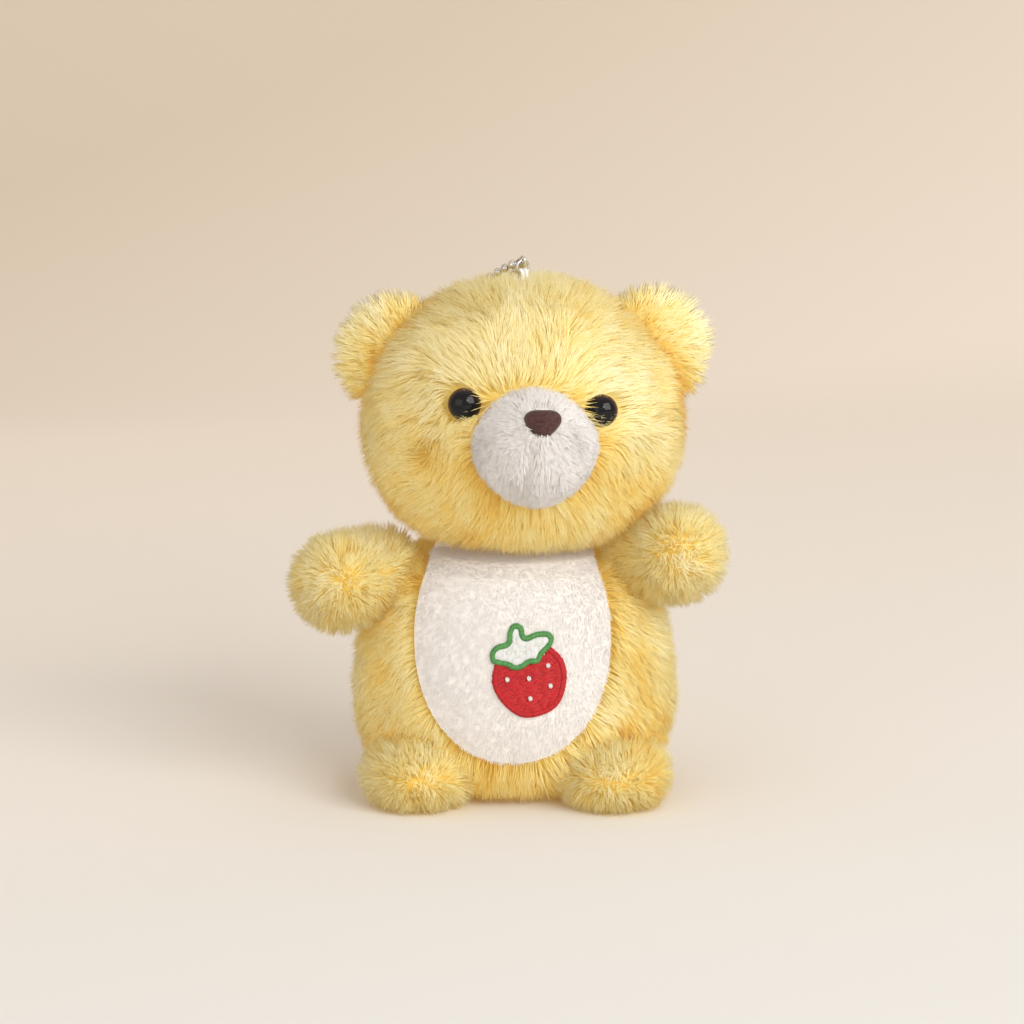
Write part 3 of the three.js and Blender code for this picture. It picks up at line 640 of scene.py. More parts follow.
STRAND_ANGLES = [math.radians(-72), math.radians(72), math.pi]  # a flat side faces outwards
SIDES_PER_STRAND = len(STRAND_ANGLES)
STATIONS = {"long": (0.0, 0.55), "short": (0.0, 0.6)}
ROUNDNESS = {"long": 0.3, "short": 0.1}   # how far a fibre's own shape turns its shading normal


def strand_faces(rings):
    """The triangles of one strand: a floor at its root, its walls, and its point."""
    faces = [(2, 1, 0)]
    for ring in range(rings - 1):
        for k in range(SIDES_PER_STRAND):
            a = ring * SIDES_PER_STRAND + k
            b = ring * SIDES_PER_STRAND + (k + 1) % SIDES_PER_STRAND
            faces += [(a, b, b + SIDES_PER_STRAND), (a, b + SIDES_PER_STRAND, a + SIDES_PER_STRAND)]
    last, tip = (rings - 1) * SIDES_PER_STRAND, rings * SIDES_PER_STRAND
    faces += [(last + k, last + (k + 1) % SIDES_PER_STRAND, tip) for k in range(SIDES_PER_STRAND)]
    return faces


print("triangles in a long strand:", len(strand_faces(len(STATIONS["long"]))))


# %% Many strands at once
def strand_meshes(rng, roots, middles, tips, width, tone, skin_normals, kind):
    """Closed three-sided tubes along each root-middle-tip curve, drawn out to a point."""
    stations = STATIONS[kind]
    count, rings = len(roots), len(stations)
    chord = unit(tips - roots)
    outer = unit(tangent(skin_normals + rng.normal(size=(count, 3)) * 0.12, chord))
    across = np.cross(chord, outer)
    per_strand = rings * SIDES_PER_STRAND + 1
    points = np.empty((count, per_strand, 3))
    normals = np.empty((count, per_strand, 3))
    reach = np.empty((count, per_strand))
    for ring, t in enumerate(stations):
        centre = ((1 - t) ** 2 * roots.T + 2 * t * (1 - t) * middles.T + t ** 2 * tips.T).T
        radius = width / 2 * (1 - 0.55 * t ** 1.5)
        for k, angle in enumerate(STRAND_ANGLES):
            spoke = math.cos(angle) * outer + math.sin(angle) * across
            index = ring * SIDES_PER_STRAND + k
            points[:, index] = centre + spoke * radius[:, None]
            normals[:, index] = skin_normals * 0.9 + spoke * ROUNDNESS[kind]
            reach[:, index] = t
    points[:, -1] = tips
    normals[:, -1] = skin_normals * 0.9 + chord * ROUNDNESS[kind] * 0.8
    reach[:, -1] = 1
    faces = np.array(strand_faces(rings))
    triangles = faces[None] + (np.arange(count) * per_strand)[:, None, None]
    tones = np.stack([np.repeat(tone[:, None], per_strand, 1), reach], -1)
    return (points.reshape(-1, 3), triangles.reshape(-1, 3), tones.reshape(-1, 2),
            unit(normals.reshape(-1, 3)))


print("points in a long strand:", len(STATIONS["long"]) * SIDES_PER_STRAND + 1)

# %% [markdown]
# ## Combing
# Brushed pile lies one way, and its fibres cling in tufts. Combing leans every tip along a flow
# over the surface and then draws it part of the way to its tuft's own tip.

# %% Combing the pile
FLOOR_CLEARANCE = 0.15


def comb(rng, roots, leans, flow, style, tone):
    """Middle and tip of every strand: leaned along the flow, then gathered into tufts."""
    count = len(roots)
    length = style["length"] * rng.uniform(0.8, 1.12, count)
    lean = style["lean"] * rng.uniform(0.7, 1.25, count)
    heading = leans + flow * lean[:, None] + rng.normal(size=(count, 3)) * style["ruffle"]
    tips = roots + unit(heading) * length[:, None]
    tufts = rng.random(count) < style["tuft_share"]
    centres = roots[tufts]
    if len(centres) > 3:
        own = nearest(centres, roots)
        tuft_lean = rng.normal(size=(len(centres), 3)) * style["tuft_ruffle"]
        tuft_heading = unit(leans[tufts] + flow[tufts] * lean[tufts][:, None] + tuft_lean)
        tuft_length = style["length"] * rng.uniform(0.82, 1.12, len(centres))
        gathered = centres[own] + tuft_heading[own] * tuft_length[own][:, None]
        gathered += (tips - roots - unit(heading) * length[:, None] * 0.9) * 0.5
        pull = style["gather"] * rng.uniform(0.6, 1.0, count)
        tips = tips + (gathered - tips) * pull[:, None]
        tone = tone + (rng.normal(size=len(centres)) * style["tuft_tone"])[own]
    middles = roots + (leans * 0.62 + unit(tips - roots) * 0.38) * (length * 0.5)[:, None]
    tips[:, 2] = np.maximum(tips[:, 2], FLOOR_CLEARANCE + 0.3 * rng.random(count))
    middles[:, 2] = np.maximum(middles[:, 2], FLOOR_CLEARANCE + 0.2)
    return middles, tips, np.clip(tone, 0.02, 0.98)


print("strands stop short of the floor by", FLOOR_CLEARANCE, "mm")

# %% Four kinds of pile
LONG_PILE = {"length": 7.2, "lean": 0.8, "ruffle": 0.19, "tuft_share": 0.05,
             "tuft_ruffle": 0.26, "gather": 0.42, "tuft_tone": 0.05, "width": 0.23,
             "density": 6.2, "kind": "long"}
EAR_PILE = {**LONG_PILE, "length": 5.4, "lean": 0.55, "density": 9.0, "tuft_ruffle": 0.3}
PAW_PILE = {**LONG_PILE, "length": 5.6, "lean": 0.22, "density": 8.0, "tuft_ruffle": 0.34}
SHORT_PILE = {"length": 2.8, "lean": 1.1, "ruffle": 0.35, "tuft_share": 0.06,
              "tuft_ruffle": 0.4, "gather": 0.45, "tuft_tone": 0.05, "width": 0.16,
              "density": 13.0, "kind": "short"}

print("strands per square mm:", {"long": LONG_PILE["density"], "short": SHORT_PILE["density"]})

# %% [markdown]
# ## Colours of the pile
# Plush is darkest where the pile is pressed together, at the seams, which is painted shade, and palest at
# the cut ends, where light passes through the fibres. One ramp colours the roots and another the tips.


# %% Pile materials
PAINTED_GLOW = 0.19                    # painted glow: a constant emission standing in for light that a fibre passes on to the next one


def pile_material(name, root_stops, tip_stops, sheen, tint, glow):
    """A pile shader: tone picks the colours, reach mixes root into tip."""
    material, tree, shader = new_material(name)
    tone, along = tone_and_reach_of(tree)
    root = ramp(tree, tone, root_stops)
    tip = ramp(tree, tone, tip_stops)
    reach = add_node(tree, "ShaderNodeMath", operation="POWER")
    tree.links.new(along, reach.inputs[0])
    reach.inputs[1].default_value = 1.15
    colour = mixed(tree, reach.outputs[0], root, tip)
    tree.links.new(colour, shader.inputs["Base Color"])
    shader.inputs["Roughness"].default_value = 0.85
    shader.inputs["Specular IOR Level"].default_value = 0.2
    shader.inputs["Sheen Weight"].default_value = sheen
    shader.inputs["Sheen Roughness"].default_value = 0.45
    shader.inputs["Sheen Tint"].default_value = (*tint, 1)
    # painted glow: a constant warm emission over the whole pile
    shader.inputs["Emission Color"].default_value = (*glow, 1)
    shader.inputs["Emission Strength"].default_value = PAINTED_GLOW
    return material


yellow = pile_material(
    "yellow_pile",
    [(0.0, (0.72, 0.24, 0.015)), (0.3, (0.82, 0.47, 0.06)), (0.6, (0.86, 0.67, 0.18)),
     (1.0, (0.88, 0.80, 0.38))],
    [(0.0, (0.82, 0.38, 0.05)), (0.3, (0.88, 0.67, 0.18)), (0.6, (0.90, 0.85, 0.46)),
     (1.0, (0.92, 0.93, 0.74))],
    0.25, (1.0, 0.97, 0.80), (1.0, 0.58, 0.12))
white = pile_material(
    "white_pile",
    [(0.0, (0.56, 0.46, 0.38)), (0.5, (0.70, 0.66, 0.62)), (1.0, (0.80, 0.78, 0.76))],
    [(0.0, (0.64, 0.57, 0.51)), (0.5, (0.74, 0.72, 0.71)), (1.0, (0.84, 0.84, 0.845))],
    0.12, (1.0, 1.0, 1.0), (0.80, 0.66, 0.54))
print("pile materials:", yellow.name, white.name)

# %% [markdown]
# ## Where pieces meet
# Shade falls where two stuffed parts meet, and it is painted into the pile. One function measures how near
# a root is to a neighbouring form, and the tone of the strand drops there as painted shade.


# %% Neighbours of each form
everything = {"head": head_form, "body": body_form,
              "arm_left": arm_forms["left"], "arm_right": arm_forms["right"],
              "foot_left": foot_forms["left"], "foot_right": foot_forms["right"],
              "ear_left": ear_forms["left"], "ear_right": ear_forms["right"]}

muzzle_low, muzzle_high = span("muzzle_left", "muzzle_right")
MUZZLE_HALF = np.array([14.5, 15.5, 13.4])
muzzle_middle = np.array([(muzzle_low[0] + muzzle_high[0]) / 2, muzzle_low[1] + MUZZLE_HALF[1],
                          (muzzle_low[2] + muzzle_high[2]) / 2])
MUZZLE_SKIN_DEPTH = 1.3
muzzle_form = Pad(muzzle_middle, MUZZLE_HALF - MUZZLE_SKIN_DEPTH)
eye_places = {}
for side in SIDES:
    eye_low, eye_high = span(f"eye_{side}")
    eye_places[side] = np.array([(eye_low[0] + eye_high[0]) / 2, eye_low[1],
                                 (eye_low[2] + eye_high[2]) / 2])
EYE_RADIUS = 3.95


def painted_crease_shade(points, names, reach=4.5):
    """Painted shade: 1 right beside a neighbouring form, falling to 0 over a few mm."""
    value = np.zeros(len(points))
    for name in names:
        depth = everything[name].depth(points)
        value = np.maximum(value, np.exp(-np.maximum(depth, 0) / reach))
    return value


def outside(points, names, margin=0.0):
    """Whether each point is outside all the named forms."""
    keep = np.ones(len(points), bool)
    for name in names:
        keep &= everything[name].depth(points) > margin
    return keep


everything["muzzle"] = muzzle_form
broad = Waves(11, 26)          # drifts over 26 mm
fine = Waves(12, 9)            # and over 9 mm
print("forms that press on each other:", len(everything))

# %% [markdown]
# ## The white patch
# The patch is a shorter plush let into the yellow cover. Its outline is straight under the chin,
# widest below the middle and round at the bottom, and it takes its width from the CAD patch.

# %% Patch outline
patch_low, patch_high = span("tummy_patch")
patch_middle_x = (patch_low[0] + patch_high[0]) / 2
PATCH_HALF = (patch_high[0] - patch_low[0]) / 2
PATCH_TOP, PATCH_BOTTOM = 63.5, patch_low[2] + 0.4
PATCH_WIDE = 42.0              # the height at which it is widest
TOP_SHARE = 0.71               # of its greatest width, left at the top


def patch_half_width(z):
    """Half the patch's width at each height."""
    upper = (z - PATCH_WIDE) / (PATCH_TOP - PATCH_WIDE)
    lower = (PATCH_WIDE - z) / (PATCH_WIDE - PATCH_BOTTOM)
    above = PATCH_HALF * (1 - (1 - TOP_SHARE) * np.clip(upper, 0, 1) ** 2.0)
    below = PATCH_HALF * np.sqrt(np.maximum(1 - np.clip(lower, 0, 1) ** 2.3, 0))
    return np.where(z > PATCH_WIDE, above, below)


def patch_inside(points, margin=0.0):
    """Whether each front point is within the patch's outline, shrunk by a margin."""
    z = points[:, 2]
    half = patch_half_width(z) - margin
    return ((np.abs(points[:, 0] - patch_middle_x) < half) & (z > PATCH_BOTTOM + margin)
            & (points[:, 1] < body_middle[1]))


print("patch width:", round(2 * PATCH_HALF, 1), "height:", round(PATCH_TOP - PATCH_BOTTOM, 1))

# %% [markdown]
# ## Growing a cover
# A sewn cover is several panels that meet at seams. The pile is grown once over the whole form, so
# that it runs on across the seams, and then each panel takes the skin and strands on its side.

# %% Growing a form's pile
def grow(seed, form, style, names, flow_of, allowed, tone_of, around=None):
    """Skin and strands of one form."""
    rng = np.random.default_rng(seed)
    surface = grid_mesh(form.surface() if around is None else form.surface(*around))
    middle = surface[0].mean(axis=0)
    surface = (surface[0], *facing_out(surface[0] - middle, surface[1], surface[2]))
    density = style["density"] * 1.0
    roots, leans = scatter(rng, surface, density, allowed)
    flow = tangent(flow_of(roots), leans)
    # painted shade: the tone drops near the neighbouring forms
    near = painted_crease_shade(roots, names)
    tone = (tone_of(roots) + 0.17 * broad(roots) + 0.10 * fine(roots) - 0.62 * near
            + rng.normal(size=len(roots)) * 0.07)
    middles, tips, tone = comb(rng, roots, leans, flow, style, tone)
    width = style["width"] * rng.uniform(0.8, 1.25, len(roots))
    return {"surface": surface, "roots": roots, "leans": leans, "middles": middles, "tips": tips,
            "tone": tone, "width": width, "names": names, "kind": style["kind"], "rng": rng}


print("a form's skin and strands are grown together")

# %% Cutting the cover into panels
def panel(name, node, grown, wanted, material, body, skin_tone, extra=()):
    """One cover panel: its share of the skin with its strands, standing for a CAD node."""
    keep = wanted(grown["roots"])
    strands = strand_meshes(grown["rng"], *(grown[key][keep] for key in
                            ("roots", "middles", "tips", "width", "tone", "leans")), grown["kind"])
    points, triangles, normals = grown["surface"]
    middles = points[triangles].mean(axis=1)
    chosen = triangles[wanted(middles)]
    used, chosen = np.unique(chosen, return_inverse=True)
    tones = np.stack([np.full(len(used), skin_tone), np.zeros(len(used))], 1)
    skin = (points[used], chosen.reshape(-1, 3), tones, normals[used])
    points, triangles, tones, normals = joined([skin, strands])
    piece = make_piece(name, points, triangles, tones, normals, material, body)
    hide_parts(node, *extra)
    return piece


SEAM_Y = joint_place("ear_left_fold")[1]
HEAD_SEAM_X = joint_place("head_turn")[0]


def quarter(face, side, middle_x):
    """Whether points are on one side of the middle seam and one face of the side seam."""
    def wanted(points):
        front = points[:, 1] < SEAM_Y
        left = points[:, 0] < middle_x
        return (front == (face == "front")) & (left == (side == "left"))
    return wanted


# %% [markdown]
# ## The head
# On the face the pile is brushed up and away from the muzzle, on the back it falls, and on each
# cheek it turns in a whorl. Roots are left out where the ears, the muzzle and the eyes are fixed.

# %% The lie of the head's pile
CHEEK_LEFT = head_middle + np.array([-20.0, -24.0, -11.0])
CHEEK_RIGHT = head_middle + np.array([27.0, -18.0, -9.0])


def cheek_whorls(points):
    """A twist of the pile round one spot on each cheek."""
    twist = np.zeros_like(points)
    for place, turn in ((CHEEK_LEFT, 1.0), (CHEEK_RIGHT, -1.0)):
        offset = points - place
        near = np.exp(-(offset ** 2).sum(axis=1, keepdims=True) / 90)
        twist += near * turn * np.cross(offset, (0.0, -1.0, 0.0)) / 6
    return twist


def head_flow(points):
    """Up and outwards from the muzzle on the face, down on the back, swirling on the cheeks."""
    away = points - muzzle_middle
    distance = np.linalg.norm(away, axis=1, keepdims=True)
    near = np.exp(-np.maximum(distance - 14, 0) / 14)
    down = np.array([0.0, 0.0, -1.0])
    side = np.stack([np.tanh((points[:, 0] - HEAD_SEAM_X) / 14) * 0.7, np.zeros(len(points)),
                     np.full(len(points), -0.4)], 1)
    swirl = np.stack([broad(points), fine(points) * 0.3, broad(points[:, ::-1])], 1)
    up_face = np.clip((points[:, 2] - muzzle_middle[2]) / 20, -1, 1)[:, None]
    rise = np.array([0.0, 0.0, 1.0]) * up_face * 0.8 * near
    brow = np.exp(-np.maximum(muzzle_form.depth(points), 0) / 2.2)[:, None] * (up_face > 0.25)
    near = near * (1 - 0.9 * brow)
    rise = rise - brow * np.array([-0.35, 0.0, 0.5])
    return unit(away / distance * near * 0.8 + (down * 0.5 + side * 0.6) * (1 - near)
                + rise + swirl * 0.5 + cheek_whorls(points) * 1.6)


print("whorls at", np.round(CHEEK_LEFT), "and", np.round(CHEEK_RIGHT))

# %% Head
def head_allowed(points):
    """Roots clear of the ears, the muzzle, the neck and the eyes."""
    keep = outside(points, ["ear_left", "ear_right"], 0.6) & outside(points, ["muzzle"], -0.3)
    keep &= outside(points, ["body"], 0.3) & (points[:, 2] > head_low[2] + 3.5)
    for place in eye_places.values():
        flat = (points - place)[:, [0, 2]]
        keep &= (np.linalg.norm(flat, axis=1) > EYE_RADIUS * 0.86) | (points[:, 1] > place[1] + 12)
    return keep


def head_tone(points):
    """Paler towards the crown as painted light, deeper under the chin and beside the muzzle as painted
    shade.
    """
    painted_muzzle_shade = np.exp(-np.maximum(muzzle_form.depth(points), 0) / 4)
    rise = (points[:, 2] - head_middle[2]) / 31
    chin = np.exp(-np.maximum(points[:, 2] - head_low[2], 0) / 7)
    # painted light towards the crown, painted shade under the chin and beside the muzzle
    return 0.64 + 0.14 * rise - 0.2 * painted_muzzle_shade * (rise < 0.25) - 0.12 * chin


head = grow(101, head_form, LONG_PILE, ["ear_left", "ear_right", "arm_left", "arm_right"],
            head_flow, head_allowed, head_tone, (120, 80))
for face in ("front", "back"):
    for side in SIDES:
        node = f"head_{face}_{side}"
        panel(f"fur_{node}", node, head, quarter(face, side, HEAD_SEAM_X), yellow, "head",
              0.6, ["head_stuffing"] if node == "head_front_left" else [])


# %% [markdown]
# ## The body
# The body's pile falls and spreads a little to the sides. It stops at the patch's outline and
# where the arms, the feet and the head press on it, and there painted shade deepens its tone.

# %% Body
def body_flow(points):
    """Down and a little outwards, with a slow swirl."""
    out = np.stack([np.tanh((points[:, 0] - patch_middle_x) / 12) * 0.35, np.zeros(len(points)),
                    np.full(len(points), -0.9)], 1)
    swirl = np.stack([fine(points), np.zeros(len(points)), broad(points)], 1)
    return unit(out + swirl * 0.5)


def body_allowed(points):
    """Roots clear of the limbs, the head, the patch and the floor."""
    keep = outside(points, ["arm_left", "arm_right", "foot_left", "foot_right"], -0.5)
    keep &= head_form.depth(points) > -0.8
    return keep & ~patch_inside(points, 0.8) & (points[:, 2] > 3.4)


def body_tone(points):
    """Painted shade: a little deeper low down, near the seat."""
    # painted shade near the floor
    return 0.60 - 0.14 * np.exp(-points[:, 2] / 9)


body = grow(202, body_form, {**LONG_PILE, "length": 6.4, "density": 6.8},
            ["head", "arm_left", "arm_right", "foot_left", "foot_right"], body_flow,
            body_allowed, body_tone, (120, 70))
BODY_SEAM_X = body_middle[0]
for face in ("front", "back"):
    for side in SIDES:
        node = f"body_{face}_{side}"
        panel(f"fur_{node}", node, body, quarter(face, side, BODY_SEAM_X), yellow, "torso",
              0.6, ["body_stuffing"] if node == "body_front_left" else [])

# %% [markdown]
# ## Ears
# An ear is two panels sewn face to face and lightly filled. Its pile fans out from the seam at its
# foot, and painted shade makes it deepest in colour there, where the ear meets the head.


# %% Ears
for index, (side, sign) in enumerate(SIDES.items()):
    form = ear_forms[side]
    out = form.axes[2]
    root_point = form.middle - out * 9.0

    def ear_flow(points, root_point=root_point, out=out):
        spread = unit(points - root_point)
        return unit(spread + out * 0.4 + np.stack([fine(points)] * 3, 1) * 0.3)

    def ear_allowed(points, form=form, out=out):
        return ((points - form.middle) @ out > -4.6) & (head_form.depth(points) > -0.5)

    def ear_tone(points, form=form, out=out):
        # painted shade: deeper towards the ear's foot at the head, paler out to the rim
        reach = (points - form.middle) @ out / 10
        rim = np.linalg.norm(points - form.middle, axis=1) / 10
        return 0.42 + 0.24 * reach + 0.15 * rim

    ear = grow(300 + index, form, EAR_PILE, ["head"], ear_flow, ear_allowed, ear_tone, (64, 40))
    for face in ("front", "back"):
        def ear_panel(points, face=face):
            return (points[:, 1] < form.middle[1]) == (face == "front")
        panel(f"fur_ear_{side}_{face}", f"ear_{side}_{face}", ear, ear_panel, yellow,
              f"{side}_ear", 0.55)

# %% [markdown]
# ## Arms and feet
# Each is a stub or a pad of the same plush. Its fibres run from the seam to the tip and turn round
# the tip in a whorl, as they do where the nap of two panels meets.

# %% A flow that winds round a tip
def towards(goal, turn_deg, start):
    """A flow that heads for a goal and winds round it, away from where the limb starts."""
    turn = math.radians(turn_deg)

    def flow(points):
        to_goal = unit(goal - points)
        round_it = unit(np.cross(to_goal, unit(points - start) + 1e-6))
        return to_goal * math.cos(turn) + round_it * math.sin(turn)
    return flow


def whorled_tone(points, tip, base, whorl_share, middle_height):
    """Palest in the whorl of pale tufts at the tip, deeper away from it as painted shade, and a little
    paler above than below as painted light.
    """
    whorl = np.exp(-np.linalg.norm(points - tip, axis=1) / 8)
    # painted light above and painted shade away from the whorl
    return base + whorl_share * whorl + 0.012 * (points[:, 2] - middle_height)


print("tone in the middle of a whorl:", whorled_tone(np.zeros((1, 3)), np.zeros(3), 0.5, 0.3, 0))

# %% Arms
WHORL_TURN = 28
for index, (side, sign) in enumerate(SIDES.items()):
    form = arm_forms[side]
    tip = form.end + form.along * PAW_RADIUS * 0.72 + np.array([sign * -1.5, -5.0, -1.0])

    def arm_allowed(points):
        return outside(points, ["body", "head"], -0.3)

    def arm_tone(points, form=form, tip=tip):
        return whorled_tone(points, tip, 0.54, 0.34, form.end[2])

    arm = grow(400 + index, form, PAW_PILE, ["body", "head"],
               towards(tip, WHORL_TURN, form.start), arm_allowed, arm_tone, (64, 44))
    arm_seam_y = span(f"arm_{side}_front")[1][1]
    for face in ("front", "back"):
        def arm_panel(points, face=face, seam=arm_seam_y):
            return (points[:, 1] < seam) == (face == "front")
        node = f"arm_{side}_{face}"
        panel(f"fur_{node}", node, arm, arm_panel, yellow, f"{side}_arm", 0.55,
              [f"arm_{side}_stuffing"] if face == "front" else [])

# %% Feet
SOLE_TOP = 2.4
for index, (side, sign) in enumerate(SIDES.items()):
    form = foot_forms[side]
    tip = form.middle + np.array([0.0, -form.half[1] * 0.9, form.half[2] * 0.25])

    def foot_allowed(points):
        return outside(points, ["body"], -0.3)

    def foot_tone(points, form=form, tip=tip):
        return whorled_tone(points, tip, 0.54, 0.30, form.middle[2])

    foot = grow(500 + index, form, {**PAW_PILE, "length": 5.4, "lean": 0.28}, ["body"],
                towards(tip, 25, form.middle), foot_allowed, foot_tone, (64, 40))
    for part in ("upper", "sole"):
        def foot_panel(points, part=part):
            return (points[:, 2] > SOLE_TOP) == (part == "upper")
        node = f"foot_{side}_{part}"
        panel(f"fur_{node}", node, foot, foot_panel, yellow, "torso", 0.55,
              [f"foot_{side}_stuffing"] if part == "upper" else [])

# %% [markdown]
# ## The seat
# A sitting bear's cover is closed below by one oval panel. It is hidden, but it holds the filling
# in, so it is there, with a short pile pressed flat by the bear's weight.

# %% Seat panel
base_low, base_high = span("body_base")


def seat_surface(around=72, rows=14):
    """A shallow dish that closes the body's cover from below."""
    half = (base_high - base_low) / 2 - np.array([1.0, 1.0, 0])
    middle = (base_low + base_high) / 2
    shares = np.linspace(0.02, 1, rows)[::-1]
    angles = np.linspace(0, 2 * math.pi, around, endpoint=False)
    grid = np.empty((rows, around, 3))
    grid[..., 0] = middle[0] + half[0] * shares[:, None] * np.cos(angles)
    grid[..., 1] = middle[1] + half[1] * shares[:, None] * np.sin(angles)
    grid[..., 2] = (base_low[2] + 3.2 + 0.8 * shares ** 2)[:, None]
    return grid[:, ::-1]


class Dish:
    """The seat as a form that pile can grow on."""

    def surface(self):
        """The dish's grid."""
        return seat_surface()


def everywhere(points):
    """All of a form goes into one panel."""
    return np.ones(len(points), bool)


seat = grow(601, Dish(), {**LONG_PILE, "length": 3.4, "lean": 1.4, "density": 3.0},
            ["foot_left", "foot_right"], lambda p: unit(p - np.array([0.0, 0.0, 20.0])),
            lambda p: outside(p, ["foot_left", "foot_right"]), lambda p: np.full(len(p), 0.42))
panel("fur_body_base", "body_base", seat, everywhere, yellow, "torso",
      0.5)

# %% [markdown]
# ## White plush: muzzle and tummy patch
# The white plush is sheared short. Fine fibres a millimetre or two long on a smooth skin give it
# the felted look, and the skin itself carries the puckers of the seams.


# %% Muzzle's skin
def muzzle_allowed(points):
    """Roots outside the head, and clear of the nose."""
    keep = head_form.depth(points) > -1.5
    nose_flat = np.abs((points - nose_middle)[:, [0, 2]]) / NOSE_HALF[[0, 2]]
    return keep & ((nose_flat ** 2).sum(axis=1) > 0.5)


nose_low, nose_high = span("nose")
NOSE_HALF = np.array([4.35, 2.6, 3.4])
nose_middle = np.array([(nose_low[0] + nose_high[0]) / 2, nose_low[1] + NOSE_HALF[1],
                        (nose_low[2] + nose_high[2]) / 2])


class Muzzle(Pad):
    """The muzzle with the soft groove of its middle seam, below the nose."""

    def surface(self, around=140, rows=90):
        """The pad's grid, uneven, narrower above and below, and creased at the seam."""
        grid = super().surface(around, rows)
        from_seam = grid[..., 0] - self.middle[0] - (grid[..., 2] - nose_middle[2]) * 0.12
        below = np.clip((nose_middle[2] - 3 - grid[..., 2]) / 6, 0, 1)
        front = np.clip((self.middle[1] - grid[..., 1]) / 8, 0, 1)
        uneven = 1 + 0.022 * broad(grid.reshape(-1, 3)).reshape(grid.shape[:2])[..., None]
        grid = self.middle + (grid - self.middle) * uneven
        level = (grid[..., 2] - self.middle[2]) / self.half[2]
        grid[..., 0] += (self.middle[0] - grid[..., 0]) * 0.13 * np.abs(level) ** 1.5
        groove = 1.5 * np.exp(-(from_seam / 1.2) ** 2) * below * front
        grid[..., 1] += groove
        return grid


muzzle_skin = Muzzle(muzzle_middle, MUZZLE_HALF - MUZZLE_SKIN_DEPTH)
everything["muzzle"] = muzzle_skin


print("muzzle half size:", muzzle_skin.half)

# %% Muzzle
def white_tone(points):
    """Brighter above as painted light; warmer and deeper below in the seam and at the edge as painted
    shade.
    """
    seam = points[:, 0] - muzzle_middle[0] - (points[:, 2] - nose_middle[2]) * 0.12
    below = np.clip((nose_middle[2] - 3 - points[:, 2]) / 6, 0, 1)
    edge = np.exp(-np.maximum(head_form.depth(points) - 2, 0) / 2.5)
    height = np.clip((points[:, 2] - muzzle_middle[2]) / 12, -1, 1)
    # painted light above, painted shade in the seam's groove and at the edge by the head
    return 0.84 + 0.12 * height - 0.36 * np.exp(-(seam / 0.8) ** 2) * below - 0.22 * edge


def muzzle_flow(points):
    """Away from the nose, up and out at the top so that wisps cross the yellow pile."""
    away = points - nose_middle
    above = np.clip((points[:, 2] - muzzle_middle[2]) / 8, 0, 1)[:, None]
    down = np.array([0.0, 0.0, -0.6]) * (1 - above)
    return unit(down + unit(away) * (0.5 + above) + np.stack([fine(points)] * 3, 1) * 0.4)


muzzle = grow(701, muzzle_skin, SHORT_PILE, [], muzzle_flow, muzzle_allowed, white_tone)
MUZZLE_SEAM_X = muzzle_middle[0]
for side in SIDES:
    def muzzle_panel(points, side=side):
        visible = head_form.depth(points) > -3.0
        return ((points[:, 0] < MUZZLE_SEAM_X) == (side == "left")) & visible
    panel(f"pile_muzzle_{side}", f"muzzle_{side}", muzzle, muzzle_panel, white, "head",
          0.85)

# %% [markdown]
# ## Drawing the berry
# An embroidery starts as a drawing: a few points, a smooth line through them, and the directions
# that point out of the line. The same lines then say where pile is left out and thread is laid.

# %% Outlines
def smooth_outline(points, count):
    """A closed smooth curve through some points."""
    points = np.asarray(points, float)
    before, after, further = (np.roll(points, k, axis=0) for k in (1, -1, -2))
    curve = []
    steps = max(count // len(points), 4)
    for t in np.linspace(0, 1, steps, endpoint=False):
        curve.append(0.5 * (2 * points + (after - before) * t
                            + (2 * before - 5 * points + 4 * after - further) * t ** 2
                            + (3 * points - before - 3 * after + further) * t ** 3))
    return np.stack(curve, 1).reshape(-1, 2)


def resampled(outline, spacing):
    """The outline as evenly spaced points."""
    closed = np.vstack([outline, outline[:1]])
    steps = np.linalg.norm(np.diff(closed, axis=0), axis=1)
    along = np.concatenate([[0], np.cumsum(steps)])
    at = np.arange(0, along[-1], spacing)
    return np.stack([np.interp(at, along, closed[:, k]) for k in range(2)], 1)


def outward(outline):
    """Unit normals of a closed outline that point out of it."""
    step = np.roll(outline, -1, axis=0) - np.roll(outline, 1, axis=0)
    normal = unit(np.stack([step[:, 1], -step[:, 0]], 1))
    x, z = outline[:, 0], outline[:, 1]
    area = (x * np.roll(z, -1) - np.roll(x, -1) * z).sum()
    return normal if area > 0 else -normal


print("points round a square:", len(smooth_outline([(0, 0), (1, 0), (1, 1), (0, 1)], 40)))

# %% Outlines of the berry and its leaves
BERRY_LEAN = math.radians(16)
BERRY_HALF = (8.7, 8.8)
BERRY_ASIDE, BERRY_HEIGHT = 1.7, 32.4          # from the bear's middle, and from the floor
BERRY_CENTRE = np.array([joint_place("head_turn")[0] + BERRY_ASIDE, BERRY_HEIGHT])


def leaned(points):
    """Points of the upright berry, leaned and put in place."""
    points = np.asarray(points, float)
    turn = np.array([[math.cos(BERRY_LEAN), math.sin(BERRY_LEAN)],
                     [-math.sin(BERRY_LEAN), math.cos(BERRY_LEAN)]])
    return points @ turn + BERRY_CENTRE


